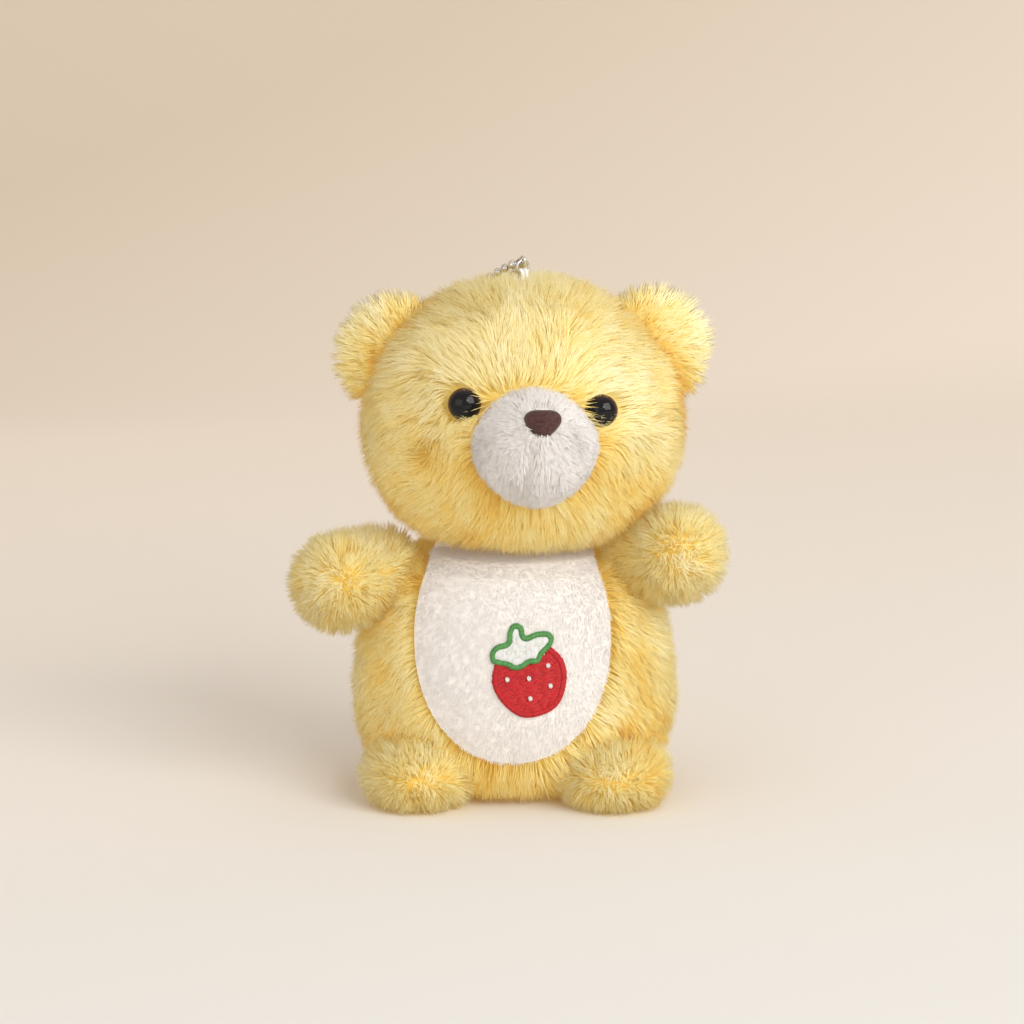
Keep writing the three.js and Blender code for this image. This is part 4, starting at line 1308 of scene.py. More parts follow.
LEAF_POINTS = [(-7.6, 6.6), (-7.3, 8.8), (-5.4, 10.1), (-2.9, 10.2), (-2.0, 12.2), (-0.6, 13.7),
               (1.1, 13.5), (1.8, 12.2), (1.8, 10.3), (4.6, 10.4), (7.4, 9.5), (8.0, 7.6),
               (6.6, 6.0), (4.6, 5.0), (3.2, 3.4), (1.0, 3.8), (-1.0, 3.2), (-2.9, 3.4),
               (-4.4, 4.7), (-6.4, 5.7)]
BERRY_POINTS = [(0, -1), (0.55, -0.86), (0.93, -0.3), (0.98, 0.3), (0.6, 0.85), (0, 0.98),
                (-0.6, 0.85), (-0.98, 0.3), (-0.93, -0.3), (-0.55, -0.86)]
LEAF_BORDER = 1.1
berry_line = leaned(smooth_outline(np.array(BERRY_POINTS) * BERRY_HALF, 120))
leaf_line = leaned(smooth_outline(LEAF_POINTS, 160))
leaf_inner = leaf_line - outward(leaf_line) * LEAF_BORDER
SEED_PLACES = [(-5.2, 1.7), (-0.2, 0.5), (5.0, 2.1), (4.2, -2.7), (-1.2, -4.2)]


def within(points, outline):
    """Whether flat points are inside an outline."""
    points = np.atleast_2d(points)
    following = np.roll(outline, -1, axis=0)
    x, z = points[:, :1], points[:, 1:]
    spans = (outline[:, 1] > z) != (following[:, 1] > z)
    step = following[:, 1] - outline[:, 1]
    step = np.where(np.abs(step) < 1e-9, 1e-9, step)
    crossing = outline[:, 0] + (z - outline[:, 1]) / step * (following[:, 0] - outline[:, 0])
    return (spans & (x < crossing)).sum(axis=1) % 2 == 1


print("berry:", np.round(np.ptp(berry_line, axis=0), 1), "leaves:", np.round(np.ptp(leaf_line, axis=0), 1))

# %% [markdown]
# ## The tummy patch
# The patch is one sheared white panel let into the yellow cover. It follows the body's form a
# little further out, tucks in under the chin, and its very short pile lies almost flat.

# %% The patch's face
PATCH_DEPTH = 1.6
patch_form = Ringed(body_low, body_high, pear_share, PATCH_DEPTH)


def patch_point(x, z):
    """The patch's face at some x and z."""
    lift = np.clip((z - patch_form.low[2]) / (patch_form.high[2] - patch_form.low[2]), 0, 1)
    share = np.maximum(pear_share(lift), 0.05)
    flat = np.clip((x - patch_form.middle[0]) / (patch_form.half[0] * share), -0.999, 0.999)
    y = patch_form.middle[1] - patch_form.half[1] * share * np.sqrt(1 - flat ** 2)
    tuck = 1.8 * np.clip((z - PATCH_TOP + 2.5) / 2.5, 0, 1) ** 2
    pucker = tuck + 0.35 * np.exp(-((x - patch_middle_x) / 1.0) ** 2) * np.clip((22 - z) / 10, 0, 1)
    return np.stack([x, y + pucker, z], -1)


def patch_surface(columns=90, rows=110):
    """A grid over the patch's outline as points, triangles and normals."""
    z = np.linspace(PATCH_TOP, PATCH_BOTTOM + 0.15, rows)
    across = np.linspace(-1, 1, columns)
    x = patch_middle_x + patch_half_width(z)[:, None] * across
    grid = patch_point(x, np.repeat(z[:, None], columns, 1))
    index = np.arange(rows * columns).reshape(rows, columns)
    triangles = split_quads(index[:-1, :-1], index[1:, :-1], index[1:, 1:], index[:-1, 1:])
    return vertex_normals(grid.reshape(-1, 3), triangles, 1e-7)


print("patch face points:", len(patch_surface()[0]))

# %% Pile on the patch
def grow_on(seed, surface, style, flow_of, allowed, tone_of):
    """Like grow, on a surface that is already triangles."""
    rng = np.random.default_rng(seed)
    density = style["density"] * 1.0
    roots, leans = scatter(rng, surface, density, allowed)
    flow = tangent(flow_of(roots), leans)
    tone = (tone_of(roots) + 0.03 * broad(roots) + 0.03 * fine(roots)
            + rng.normal(size=len(roots)) * 0.03)
    middles, tips, tone = comb(rng, roots, leans, flow, style, tone)
    width = style["width"] * rng.uniform(0.8, 1.25, len(roots))
    return {"surface": surface, "roots": roots, "leans": leans, "middles": middles, "tips": tips,
            "tone": tone, "width": width, "names": [], "kind": style["kind"], "rng": rng}


def patch_flow(points):
    """Down, and a little to one side."""
    drift = np.stack([broad(points), 0 * points[:, 0], fine(points)], 1)
    return unit(np.array([0.25, 0.0, -0.9]) + drift * 0.5)


def patch_tone(points):
    """Even, with painted shade in the pucker at the lower end."""
    pucker = np.exp(-((points[:, 0] - patch_middle_x) / 1.2) ** 2)
    # painted shade in the pucker
    return 0.74 - 0.2 * pucker * np.clip((20 - points[:, 2]) / 10, 0, 1)


def clear_of_stitches(points):
    """No pile grows where the thread covers the cloth."""
    flat = points[:, [0, 2]]
    return ~(within(flat, berry_line) | within(flat, leaf_line))


PATCH_PILE = {**SHORT_PILE, "length": 1.0, "lean": 1.9, "density": 7.0, "width": 0.15,
              "tuft_tone": 0.0, "ruffle": 0.1, "tuft_ruffle": 0.1, "gather": 0.1}
patch = grow_on(801, patch_surface(), PATCH_PILE, patch_flow, clear_of_stitches, patch_tone)
panel("pile_tummy_patch", "tummy_patch", patch, everywhere, white, "torso",
      0.85)

# %% [markdown]
# ## Embroidery
# A machine fills a shape with rows of parallel satin stitches and covers its edge with short
# stitches laid across it. Each stitch here is one bowed thread, so the light breaks on it.


# %% Thread meshes
def thread_tube(points, radius, sides):
    """A closed tube through a few points, thinner where it dives into the cloth."""
    points = np.asarray(points, float)
    along = unit(np.gradient(points, axis=0))
    side = unit(np.cross(along, (0.0, 1.0, 0.0)) + 1e-9)
    other = np.cross(along, side)
    count = len(points)
    angles = np.linspace(0, 2 * math.pi, sides, endpoint=False)
    ring = (np.cos(angles)[None, :, None] * side[:, None]
            + np.sin(angles)[None, :, None] * other[:, None])
    taper = np.ones(count)
    taper[[0, -1]] = 0.55
    grid = points[:, None] + ring * (radius * taper)[:, None, None]
    caps = [(0, k + 1, k) for k in range(1, sides - 1)]
    last = (count - 1) * sides
    caps += [(last, last + k, last + k + 1) for k in range(1, sides - 1)]
    triangles = np.concatenate([ring_triangles(count, sides), np.array(caps)])
    solid_points = grid.reshape(-1, 3)
    triangles, _ = facing_out(solid_points - solid_points.mean(axis=0), triangles, ring)
    return solid_points, triangles, ring.reshape(-1, 3)


print("a thread's triangles:", len(thread_tube([(0, 0, 0), (1, 0, 0), (2, 0, 0)], 0.2, 6)[1]))

# %% Laying stitches
STITCH_SHARES = np.array([0.0, 0.12, 0.5, 0.88, 1.0])
STITCH_BOW = np.array([0.1, 0.85, 1.0, 0.85, 0.1])
THREAD_SIDES = 6


def stitched(name, stitches, radius, lift, material, slot, *nodes, seed=1):
    """Many stitches as one piece: each goes from one flat (x, z) point to another."""
    rng = np.random.default_rng(seed)
    parts = []
    for start, end in stitches:
        flat = start + (end - start) * STITCH_SHARES[:, None]
        on_patch = patch_point(flat[:, 0], flat[:, 1])
        on_patch[:, 1] -= STITCH_BOW * lift + rng.uniform(-0.03, 0.03)
        points, triangles, normals = thread_tube(on_patch, radius, THREAD_SIDES)
        tone = rng.uniform(0.3, 0.8)
        tones = np.stack([np.full(len(points), tone), np.repeat(STITCH_SHARES, THREAD_SIDES)], 1)
        parts.append((points, triangles, tones, normals))
    points, triangles, tones, normals = joined(parts)
    piece = make_piece(name, points, triangles, tones, normals, material, "torso")
    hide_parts(*nodes)
    print(f"{name}: {len(stitches)} stitches")
    return piece


# %% Edge stitches and filling stitches
def edge_stitches(outline, width, spacing, slant=0.12):
    """Satin stitches laid across an outline."""
    line = resampled(outline, spacing)
    out = outward(line)
    shift = np.roll(line, -1, axis=0) - line
    return [(p - n * width / 2 - s * slant, p + n * width / 2 + s * slant)
            for p, n, s in zip(line, out, shift)]


OVERRUN = 0.12                 # neighbouring stitches share their needle holes


def fill_stitches(outline, spacing, longest, angle_deg, seed):
    """Rows of stitches that fill an outline."""
    rng = np.random.default_rng(seed)
    angle = math.radians(angle_deg)
    along = np.array([math.cos(angle), math.sin(angle)])
    up = np.array([-along[1], along[0]])
    rows = []
    following = np.roll(outline, -1, axis=0)
    heights = outline @ up
    for level in np.arange(heights.min() + spacing / 2, heights.max(), spacing):
        crossings = []
        above, next_above = heights - level, following @ up - level
        for i in np.nonzero(above * next_above < 0)[0]:
            share = above[i] / (above[i] - next_above[i])
            crossings.append(float((outline[i] + (following[i] - outline[i]) * share) @ along))
        crossings.sort()
        for start, end in zip(crossings[::2], crossings[1::2]):
            pieces = max(1, math.ceil((end - start) / longest))
            cuts = np.linspace(start, end, pieces + 1)
            cuts[1:-1] += rng.uniform(-0.3, 0.3, pieces - 1) * longest
            for a, b in zip(cuts[:-1], cuts[1:]):
                rows.append((along * (a - OVERRUN) + up * level,
                             along * (b + OVERRUN) + up * level))
    return rows


print("stitches share a needle hole by", OVERRUN, "mm")

# %% [markdown]
# ## Thread
# Embroidery thread is rayon or polyester, brighter where it turns to the light. Each stitch has
# its own shade, so rows of thread show without any image.

# %% Thread materials
def thread_material(name, dark, light):
    """Shiny thread: its shade changes from stitch to stitch."""
    material, tree, shader = new_material(name)
    tone, _ = tone_and_reach_of(tree)
    tree.links.new(ramp(tree, tone, [(0.2, dark), (0.9, light)]), shader.inputs["Base Color"])
    shader.inputs["Roughness"].default_value = 0.5
    shader.inputs["Sheen Weight"].default_value = 0.04
    return material


red_thread = thread_material("red_thread", (0.42, 0.005, 0.010), (0.60, 0.014, 0.02))
green_thread = thread_material("green_thread", (0.045, 0.22, 0.05), (0.12, 0.36, 0.10))
white_thread = thread_material("white_thread", (0.66, 0.66, 0.64), (0.80, 0.80, 0.78))

print("threads:", red_thread.name, green_thread.name, white_thread.name)

# %% [markdown]
# ## Stitching the berry
# First comes an underlay of coarse stitches that lifts the thread off the cloth, then the filling
# in rows, then the satin edge on top, and the seeds last.

# %% Berry
ROW = 0.28
berry_under = [(a, b) for a, b in fill_stitches(berry_line, 0.4, 1.6, 106, 20)
               if not within((a + b) / 2, leaf_line)[0]]
berry_fill = [(a, b) for a, b in fill_stitches(berry_line, ROW, 3.4, 16, 21)
              if not within((a + b) / 2, leaf_line)[0]]
berry_edge = [(a, b) for a, b in edge_stitches(berry_line - outward(berry_line) * 0.55, 1.25, 0.3)
              if not within((a + b) / 2, leaf_line)[0]]
stitched("stitched_berry_underlay", berry_under, 0.32, 0.15, red_thread, "red_thread", seed=30)
stitched("stitched_berry", berry_fill, 0.19, 0.55, red_thread, "red_thread", "berry", seed=31)
stitched("stitched_berry_edge", berry_edge, 0.18, 0.85, red_thread, "red_thread", seed=32)
# %% Leaves and seeds
stitched("stitched_leaf_underlay", fill_stitches(leaf_inner, 0.4, 1.6, 160, 23), 0.32, 0.15,
         white_thread, "white_thread", seed=35)
stitched("stitched_leaf_border", edge_stitches((leaf_line + leaf_inner) / 2, LEAF_BORDER, 0.27),
         0.19, 1.0, green_thread, "green_thread", "berry_leaf_border", seed=33)
stitched("stitched_leaf_fill", fill_stitches(leaf_inner, ROW, 3.0, 70, 22), 0.2, 0.6,
         white_thread, "white_thread", "berry_leaf_fill", seed=34)
for number, place in enumerate(SEED_PLACES, start=1):
    seed_rows = [(-0.2, 0.5), (0.12, 0.62), (0.4, 0.35)]
    stitches = []
    for x, half in seed_rows:
        ends = leaned([(place[0] + x, place[1] - half), (place[0] + x, place[1] + half)])
        stitches.append((ends[0], ends[1]))
    stitched(f"stitched_seed_{number}", stitches, 0.17, 1.1, white_thread, "white_thread",
             f"berry_seed_{number}", seed=40 + number)

# %% [markdown]
# ## The eyes
# An eye is a moulded dome on a stem, black with a thin brown rim painted behind its clear shell.
# It could be a sphere, but a turned profile gives the flatter dome and the stem in one piece.


# %% Turned shapes
def lathe(profile, around=72):
    """Rings round the Y axis from (radius, depth) pairs, front first, as a grid."""
    angles = np.linspace(0, 2 * math.pi, around, endpoint=False)
    grid = np.empty((len(profile), around, 3))
    for i, (radius, depth) in enumerate(profile):
        grid[i, :, 0] = radius * np.cos(angles)
        grid[i, :, 1] = depth
        grid[i, :, 2] = radius * np.sin(angles)
    return grid


def eye_material():
    """Black in the middle and dark brown round the rim, with a smooth glossy surface."""
    material, tree, shader = new_material("eye_plastic")
    from_middle, _ = tone_and_reach_of(tree)
    colour = ramp(tree, from_middle, [(0.0, (0.004, 0.004, 0.005)),
                                      (0.80, (0.005, 0.004, 0.004)),
                                      (0.92, (0.050, 0.017, 0.008)),
                                      (1.0, (0.085, 0.032, 0.014))])
    tree.links.new(colour, shader.inputs["Base Color"])
    shader.inputs["Roughness"].default_value = 0.05
    shader.inputs["Specular IOR Level"].default_value = 0.3
    return material


eye_plastic = eye_material()
EYE_BULGE = 0.8
for side in SIDES:
    place = eye_places[side]
    turns = np.linspace(0.004, math.pi / 2 + 0.5, 40)
    profile = [(EYE_RADIUS * math.sin(t), EYE_RADIUS * EYE_BULGE * (1 - math.cos(t))) for t in turns]
    stem = [(1.3, profile[-1][1] + 0.6), (1.3, 11.5), (0.9, 12.0), (0.004, 12.0)]
    grid = lathe(profile + stem)
    points, triangles, normals = grid_mesh(grid + place)
    shares = np.clip(np.hypot(points[:, 0] - place[0], points[:, 2] - place[2]) / EYE_RADIUS, 0, 1)
    tones = np.stack([shares, np.clip((points[:, 1] - place[1]) / 12, 0, 1)], 1)
    triangles, normals = facing_out(points - place, triangles, normals)
    piece = make_piece(f"dome_eye_{side}", points, triangles, tones, normals, eye_plastic,
                       "head")
    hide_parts(f"eye_{side}")


# %% [markdown]
# ## The nose
# The nose is a moulded button covered in flock, which is powdered fibre glued on, so it is matt
# with a fine grain. It is wide above and drawn to a soft point below, and it leans with the face.

# %% Flocked nose
def flock_material():
    """Dark brown flock with a slow change of shade and a soft edge glow."""
    material, tree, shader = new_material("nose_flock")
    colour = speckle(tree, 1800.0, 3.0, (0.034, 0.010, 0.009), (0.095, 0.032, 0.027))
    tree.links.new(colour, shader.inputs["Base Color"])
    shader.inputs["Roughness"].default_value = 0.8
    shader.inputs["Sheen Weight"].default_value = 0.35
    shader.inputs["Sheen Roughness"].default_value = 0.4
    return material


def make_nose():
    """A rounded triangle, wide above and drawn to a soft point below, on its stem."""
    rows, around = 90, 180
    turns = np.linspace(0.01, math.pi - 0.25, rows)
    angles = np.linspace(0, 2 * math.pi, around, endpoint=False)
    rng = np.random.default_rng(77)
    outline = 1 + 0.10 * np.cos(3 * (angles + math.pi / 2)) + 0.04 * np.cos(2 * angles)
    grid = np.empty((rows, around, 3))
    reach = np.sin(turns) ** 0.85
    grain = 1 + rng.normal(size=(rows, around)) * 0.006
    grid[..., 0] = reach[:, None] * np.cos(angles) * outline * NOSE_HALF[0] * 0.93 * grain
    grid[..., 2] = reach[:, None] * np.sin(angles) * outline * NOSE_HALF[2] * grain
    grid[..., 1] = (-np.cos(turns) * NOSE_HALF[1])[:, None] * grain
    lean = math.radians(17)
    y = grid[..., 1] * math.cos(lean) + grid[..., 2] * math.sin(lean)
    z = grid[..., 2] * math.cos(lean) - grid[..., 1] * math.sin(lean)
    grid[..., 1], grid[..., 2] = y, z
    points, triangles, normals = grid_mesh(grid + nose_middle)
    stem_turns = [(0.004, 1.5), (1.3, 1.5), (1.3, 8.0), (0.9, 8.4), (0.004, 8.4)]
    stem = grid_mesh(lathe(stem_turns, 24) + nose_middle)
    stem = (stem[0], *facing_out(stem[0] - nose_middle, stem[1], stem[2]))
    nothing = [np.zeros((len(p), 2)) for p in (points, stem[0])]
    triangles, normals = facing_out(points - nose_middle, triangles, normals)
    return joined([(points, triangles, nothing[0], normals), (stem[0], stem[1], nothing[1], stem[2])])


points, triangles, _, normals = make_nose()
piece = make_piece("flocked_nose", points, triangles, None, None, flock_material(), "head")
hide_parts("nose")

# %% [markdown]
# ## Washers
# Behind the cloth a plastic washer is pressed on each stem, and its teeth hold the eye or nose for
# good. Nobody sees them, but the parts need them to stay on.

# %% Lock washers behind the eyes and nose
def washer_material():
    """Milky white plastic, slightly uneven."""
    material, tree, shader = new_material("washer_plastic")
    colour = speckle(tree, 400.0, 2.0, (0.70, 0.70, 0.66), (0.80, 0.80, 0.77))
    tree.links.new(colour, shader.inputs["Base Color"])
    shader.inputs["Roughness"].default_value = 0.4
    return material


washer_plastic = washer_material()
for name in ("eye_washer_left", "eye_washer_right", "nose_washer"):
    low, high = span(name)
    middle = (low + high) / 2
    radius = (high[0] - low[0]) / 2 - 0.1
    thick = 1.1
    profile = [(1.6, 0.0), (2.1, 0.0), (2.5, 0.35), (radius - 0.3, 0.35), (radius, 0.5),
               (radius, thick - 0.1), (radius - 0.2, thick), (1.7, thick), (1.6, thick - 0.1),
               (1.6, 0.0)]
    grid = lathe(profile, 48) + np.array([middle[0], middle[1] - thick / 2, middle[2]])
    points, triangles, normals = grid_mesh(grid)
    triangles, normals = facing_out(points - middle, triangles, normals)
    piece = make_piece(f"lock_{name}", points, triangles, None, None, washer_plastic, "head")
    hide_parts(name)

# %% [markdown]
# ## Cord loop, ring and bead chain
# Two strands of white cord come out of the crown and carry a small wire ring. A bead chain is a
# row of hollow balls pressed round short pins, so each ball has a small collar where the pin
# enters. It lies back over the head, and both ends close in one folded clasp.


# %% Plating
def metal_material(name, dark, light, roughness):
    """Polished plating, a little cloudy."""
    material, tree, shader = new_material(name)
    colour = speckle(tree, 700.0, 3.0, dark, light)
    tree.links.new(colour, shader.inputs["Base Color"])
    shader.inputs["Metallic"].default_value = 1.0
    shader.inputs["Roughness"].default_value = roughness
    return material


nickel = metal_material("nickel", (0.62, 0.60, 0.56), (0.80, 0.78, 0.74), 0.16)
print("plating:", nickel.name)

# %% Where the chain lies
BEAD_RADIUS = 1.1
PITCH = 2.95                   # from bead to bead
ring_low, ring_high = span("ring")
ring_middle = (ring_low + ring_high) / 2
RING_RADIUS = (ring_high[2] - ring_low[2]) / 2 - 0.3
WIRE = 0.3
joint_dir = np.array(next(j for j in frame["joints"] if j["name"] == "chain_swing")["axis"], float)
lateral = joint_dir / np.linalg.norm(joint_dir)
heading = np.cross((0.0, 0.0, 1.0), lateral)
if heading @ (joint_place("chain_lower_bend") - joint_place("chain_swing")) < 0:
    heading = -heading


def bead_line():
    """The middle line between the two strands, as a dense curve from the first bead on."""
    crown = joint_place("chain_swing")
    clasp_low, clasp_high = span("chain_clasp")
    clasp = (clasp_low + clasp_high) / 2
    flat = (clasp - crown) @ heading
    clasp = crown + heading * flat + np.array([0, 0, clasp[2] - crown[2]])
    first = crown + heading * 2.6 + np.array([0, 0, -1.2])
    knots = [first] + [joint_place(f"chain_{run}_bend") for run in ("upper", "middle", "lower")]
    knots.append(clasp)
    knots = np.array(knots)
    before = knots[0] - (knots[1] - knots[0]) * 0.6 + np.array([0, 0, -0.8])
    after = knots[-1] + (knots[-1] - knots[-2]) * 0.9 + np.array([0, 0, -0.5]) - heading * 2.0
    chain = np.vstack([before, knots, after])
    curve = []
    for i in range(1, len(chain) - 2):
        p0, p1, p2, p3 = chain[i - 1:i + 3]
        for t in np.linspace(0, 1, 60, endpoint=False):
            curve.append(0.5 * (2 * p1 + (p2 - p0) * t + (2 * p0 - 5 * p1 + 4 * p2 - p3) * t ** 2
                                + (3 * p1 - p0 - 3 * p2 + p3) * t ** 3))
    curve.append(knots[-1])
    return np.array(curve)


line = bead_line()
line_reach = np.concatenate([[0], np.cumsum(np.linalg.norm(np.diff(line, axis=0), axis=1))])
TOP_BEADS, RUN_BEADS = 3, 5
BEADS = TOP_BEADS + 3 * RUN_BEADS
STRAND_GAP = 6.2
print("bead line length in mm:", round(line_reach[-1], 1), "needs", round(BEADS * PITCH, 1))


# %% Where each bead sits
def bead_place(count, sign):
    """A bead's middle on one strand."""
    share = count / BEADS * line_reach[-1]
    middle = np.array([np.interp(share, line_reach, line[:, k]) for k in range(3)])
    narrow = BEAD_RADIUS + 0.3
    across = narrow + (STRAND_GAP / 2 - narrow) * min(count / TOP_BEADS, 1)
    return middle + lateral * (sign * across)


print("first bead at", np.round(bead_place(0, 0), 1), "last at", np.round(bead_place(BEADS, 0), 1))

# %% [markdown]
# ## Balls and pins
# Each ball is pressed from a strip of sheet and closes on the heads of two short pins, so a small
# collar shows at both ends. A ball is turned round the line of the chain, and a pin is a wire.

# %% Balls and wires
COLLAR_RADII, COLLAR_LEVELS = [0.02, 0.30, 0.40], [0.92, 1.0, 1.06]


def ball(middle, along):
    """A hollow ball with a small dimpled collar at each end."""
    side = unit(np.cross(along, (0.3, 0.2, 0.93)))
    other = np.cross(along, side)
    turns = np.linspace(0.16, math.pi - 0.16, 20)
    radii = list(BEAD_RADIUS * np.sin(turns))
    levels = list(-BEAD_RADIUS * np.cos(turns))
    radii = COLLAR_RADII + radii[2:-2] + COLLAR_RADII[::-1]
    levels = [-level for level in COLLAR_LEVELS] + levels[2:-2] + COLLAR_LEVELS[::-1]
    angles = np.linspace(0, 2 * math.pi, 28, endpoint=False)
    ring = np.cos(angles)[:, None] * side + np.sin(angles)[:, None] * other
    grid = (middle + np.array(levels)[:, None, None] * along
            + np.array(radii)[:, None, None] * ring[None])
    points, triangles, normals = grid_mesh(grid)
    triangles, normals = facing_out(points - middle, triangles, normals)
    return points, triangles, np.zeros((len(points), 2)), normals


def rod(points, radius, sides=12):
    """A round wire through some points, closed at its ends."""
    tube_points, triangles, normals = thread_tube(points, radius, sides)
    return tube_points, triangles, np.zeros((len(tube_points), 2)), normals


print("points in a ball:", len(ball(np.zeros(3), np.array([0.0, 1.0, 0.0]))[0]))


# %% Runs of the chain
def chain_piece(name, node, body, parts):
    """Some metal parts as one piece that stands for a CAD node."""
    points, triangles, _, _ = joined(parts)
    piece = make_piece(name, points, triangles, None, None, nickel, body)
    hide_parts(node)
    return piece


PIN = 0.3


def strand_parts(first, count, sign, last_place=None):
    """The balls and pins of one run of a strand."""
    places = [bead_place(first + i, sign) for i in range(count)]
    following = bead_place(first + count, sign) if last_place is None else last_place
    parts = []
    for at, after in zip(places, places[1:] + [following]):
        along = unit(after - at)
        parts.append(ball(at, along))
        parts.append(rod([at + along * 0.9, (at + after) / 2, after - along * 0.9], PIN))
    return parts


print("parts in a run:", len(strand_parts(TOP_BEADS, RUN_BEADS, 1)))

# %% Chain
CLASP_LENGTH = 8.6
clasp_reach = CLASP_LENGTH / 2 - BEAD_RADIUS - 0.3
clasp_middle = bead_place(BEADS, 0)
top_parts = strand_parts(0, TOP_BEADS, -1) + strand_parts(0, TOP_BEADS, 1)
link_turns = np.linspace(math.pi / 2 - 0.6, 3 * math.pi / 2 + 0.6, 15)
ring_top = ring_middle + np.array([0, 0, RING_RADIUS])
link_radius = 2 * WIRE + 0.3
link = [bead_place(0, -1)] + [ring_top + heading * link_radius * math.cos(t)
                              + np.array([0, 0, link_radius * math.sin(t)]) for t in link_turns]
link.append(bead_place(0, 1))
top_parts.append(rod(link, PIN))
chain_piece("bead_chain_top", "chain_top", "chain_start", top_parts)
for run, name in enumerate(("upper", "middle", "lower")):
    for side, sign in SIDES.items():
        last = clasp_middle + lateral * sign * clasp_reach if name == "lower" else None
        parts = strand_parts(TOP_BEADS + run * RUN_BEADS, RUN_BEADS, sign, last)
        if last is not None:
            parts.append(ball(last, unit(last - bead_place(BEADS - 1, sign))))
        chain_piece(f"bead_chain_{name}_{side}", f"chain_{name}_{side}", f"chain_{name}", parts)


# %% [markdown]
# ## The clasp
# The clasp is a strip of plated sheet folded round the last bead of each strand. Its section is
# one open ring, carried along its length and closed at both ends.

# %% Clasp
CLASP_ROOM, CLASP_SHEET = 0.3, 0.35            # round the bead, and the sheet's thickness


def make_clasp():
    """A strip folded round the last two beads, open where the strands come in."""
    inner = BEAD_RADIUS + CLASP_ROOM
    outer = inner + CLASP_SHEET
    turns = np.linspace(math.radians(-205), math.radians(25), 40)      # open below, at one side
    up = np.array([0.0, 0.0, 1.0])
    corners = []
    for t in turns:
        corners.append((inner * math.cos(t), inner * math.sin(t)))
    back = [(outer * math.cos(t), outer * math.sin(t)) for t in turns[::-1]]
    section = np.array(corners + back)
    ends = np.array([-1.0, -0.985, -0.95, 0.95, 0.985, 1.0]) * CLASP_LENGTH / 2
    shrink = np.array([0.93, 0.98, 1.0, 1.0, 0.98, 0.93])
    middle_line = (section / np.linalg.norm(section, axis=1, keepdims=True)) * (inner + outer) / 2
    grid = np.empty((len(ends), len(section), 3))
    for i, (end, share) in enumerate(zip(ends, shrink)):
        flat = middle_line + (section - middle_line) * (share if share == 1 else share - 0.35)
        grid[i] = (clasp_middle + lateral * end + flat[:, :1] * heading + flat[:, 1:] * up)
    points, triangles, normals = grid_mesh(grid)
    count = len(section)
    half = count // 2
    caps = []
    for start in (0, (len(ends) - 1) * count):
        for i in range(half - 1):
            a, b = start + i, start + i + 1
            c, d = start + count - 2 - i, start + count - 1 - i
            quad = [(a, b, c), (a, c, d)]
            caps += quad if start else [(t[0], t[2], t[1]) for t in quad]
    triangles = np.concatenate([triangles, np.array(caps)])
    triangles, normals = facing_out(points - clasp_middle, triangles, normals)
    return points, triangles, np.zeros((len(points), 2)), normals


chain_piece("folded_clasp", "chain_clasp", "clasp", [make_clasp()])


# %% [markdown]
# ## The ring
# One turn of round wire joins the chain to the cord. It is a circle of round sections, closed on
# itself, because the joint in the real wire is too fine to see.

# %% Ring
def make_ring():
    """A closed ring of round wire."""
    turns = np.linspace(0, 2 * math.pi, 73)[:-1]
    centres = [ring_middle + lateral * RING_RADIUS * math.cos(t)
               + np.array([0, 0, RING_RADIUS * math.sin(t)]) for t in turns]
    angles = np.linspace(0, 2 * math.pi, 16, endpoint=False)
    grid = np.empty((len(turns), 16, 3))
    for i, (t, centre) in enumerate(zip(turns, centres)):
        spoke = lateral * math.cos(t) + np.array([0, 0, math.sin(t)])
        grid[i] = centre + WIRE * (np.cos(angles)[:, None] * spoke
                                   + np.sin(angles)[:, None] * heading)
    closed = np.concatenate([grid, grid[:1]])
    points, triangles, normals = grid_mesh(closed)
    triangles, normals = facing_out(points - ring_middle, triangles, normals)
    return points, triangles, np.zeros((len(points), 2)), normals


chain_piece("wire_ring", "ring", "link_ring", [make_ring()])


# %% [markdown]
# ## The cord loop
# The cord is soft and white, three plies twisted together, and it ends in a knot under the crown's
# seam. Each ply is a tube along a twisted path, so the twist is real and needs no image.

# %% Cord
def cord_material():
    """Soft white cord, with painted shade in grey between its plies."""
    material, tree, shader = new_material("cord")
    from_core, _ = tone_and_reach_of(tree)
    colour = ramp(tree, from_core, [(0.0, (0.62, 0.62, 0.60)), (1.0, (0.90, 0.90, 0.88))])
    tree.links.new(colour, shader.inputs["Base Color"])
    shader.inputs["Roughness"].default_value = 0.8
    shader.inputs["Sheen Weight"].default_value = 0.2
    return material


print("the cord is three plies thick")

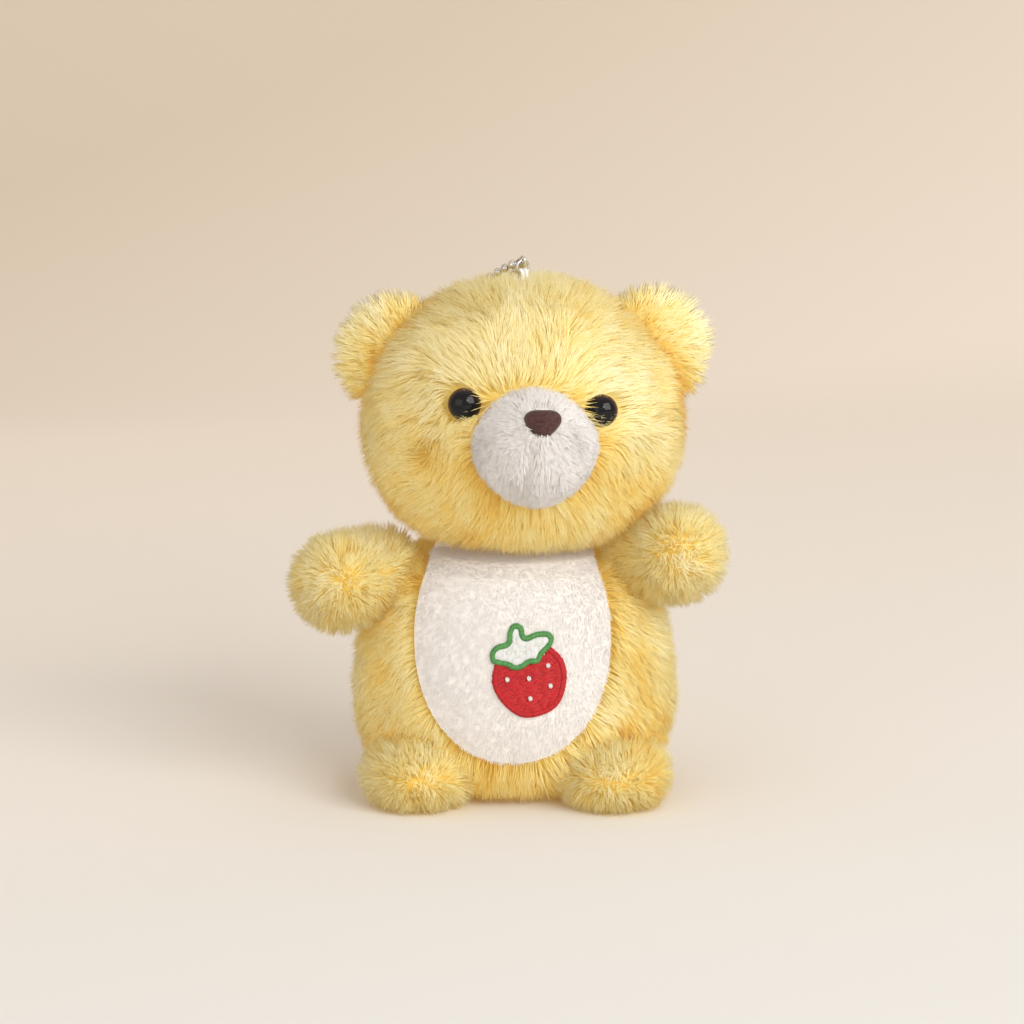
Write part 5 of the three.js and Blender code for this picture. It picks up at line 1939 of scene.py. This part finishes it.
# %% Cord loop
def make_cord_loop():
    """Two strands over the ring's lower wire, each of three twisted plies, on a knot."""
    knot = joint_place("loop_flop")
    bend = np.array([*joint_place("ring_tilt")[:2], ring_middle[2] - RING_RADIUS])
    wrap = 0.5 + WIRE + 0.1
    parts = []
    for sign in (-1, 1):
        path = [knot + lateral * sign * 0.55 - heading * 0.6, knot + lateral * sign * 0.55
                - heading * wrap + (bend - knot) * 0.5]
        for t in np.linspace(math.pi, 0, 13):
            path.append(bend + lateral * sign * 0.55 + heading * wrap * math.cos(t)
                        + np.array([0, 0, wrap * math.sin(t)]))
        path += [knot + lateral * sign * 0.55 + heading * wrap + (bend - knot) * 0.5,
                 knot + lateral * sign * 0.55 + heading * 0.6]
        path = np.array(path)
        reach = np.concatenate([[0], np.cumsum(np.linalg.norm(np.diff(path, axis=0), axis=1))])
        at = np.linspace(0, reach[-1], 90)
        centre = np.stack([np.interp(at, reach, path[:, k]) for k in range(3)], 1)
        along = unit(np.gradient(centre, axis=0))
        side = np.tile(lateral, (len(at), 1))
        other = np.cross(along, side)
        for ply in range(3):
            angle = at / 1.6 * 2 * math.pi + ply * 2 * math.pi / 3
            offset = 0.24 * (np.cos(angle)[:, None] * side + np.sin(angle)[:, None] * other)
            points, triangles, normals = thread_tube(centre + offset, 0.27, 10)
            outer = ((points - np.repeat(centre, 10, 0)) ** 2).sum(axis=1) ** 0.5
            # painted shade: greyer towards the cord's core, between the plies
            tones = np.stack([np.clip(outer / 0.5, 0, 1), np.zeros(len(points))], 1)
            parts.append((points, triangles, tones, normals))
    knot_grid = Pad(knot, (1.9, 1.9, 1.7)).surface(32, 20)
    knot_grid += 0.12 * np.sin(knot_grid @ np.array([[5.0], [4.0], [6.0]]))
    points, triangles, normals = grid_mesh(knot_grid)
    triangles, normals = facing_out(points - knot, triangles, normals)
    parts.append((points, triangles, np.full((len(points), 2), 0.6), normals))
    return joined(parts)


points, triangles, tones, normals = make_cord_loop()
piece = make_piece("twisted_cord_loop", points, triangles, tones, None, cord_material(), "loop")
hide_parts("hang_loop")

print("cord loop triangles:", len(triangles))
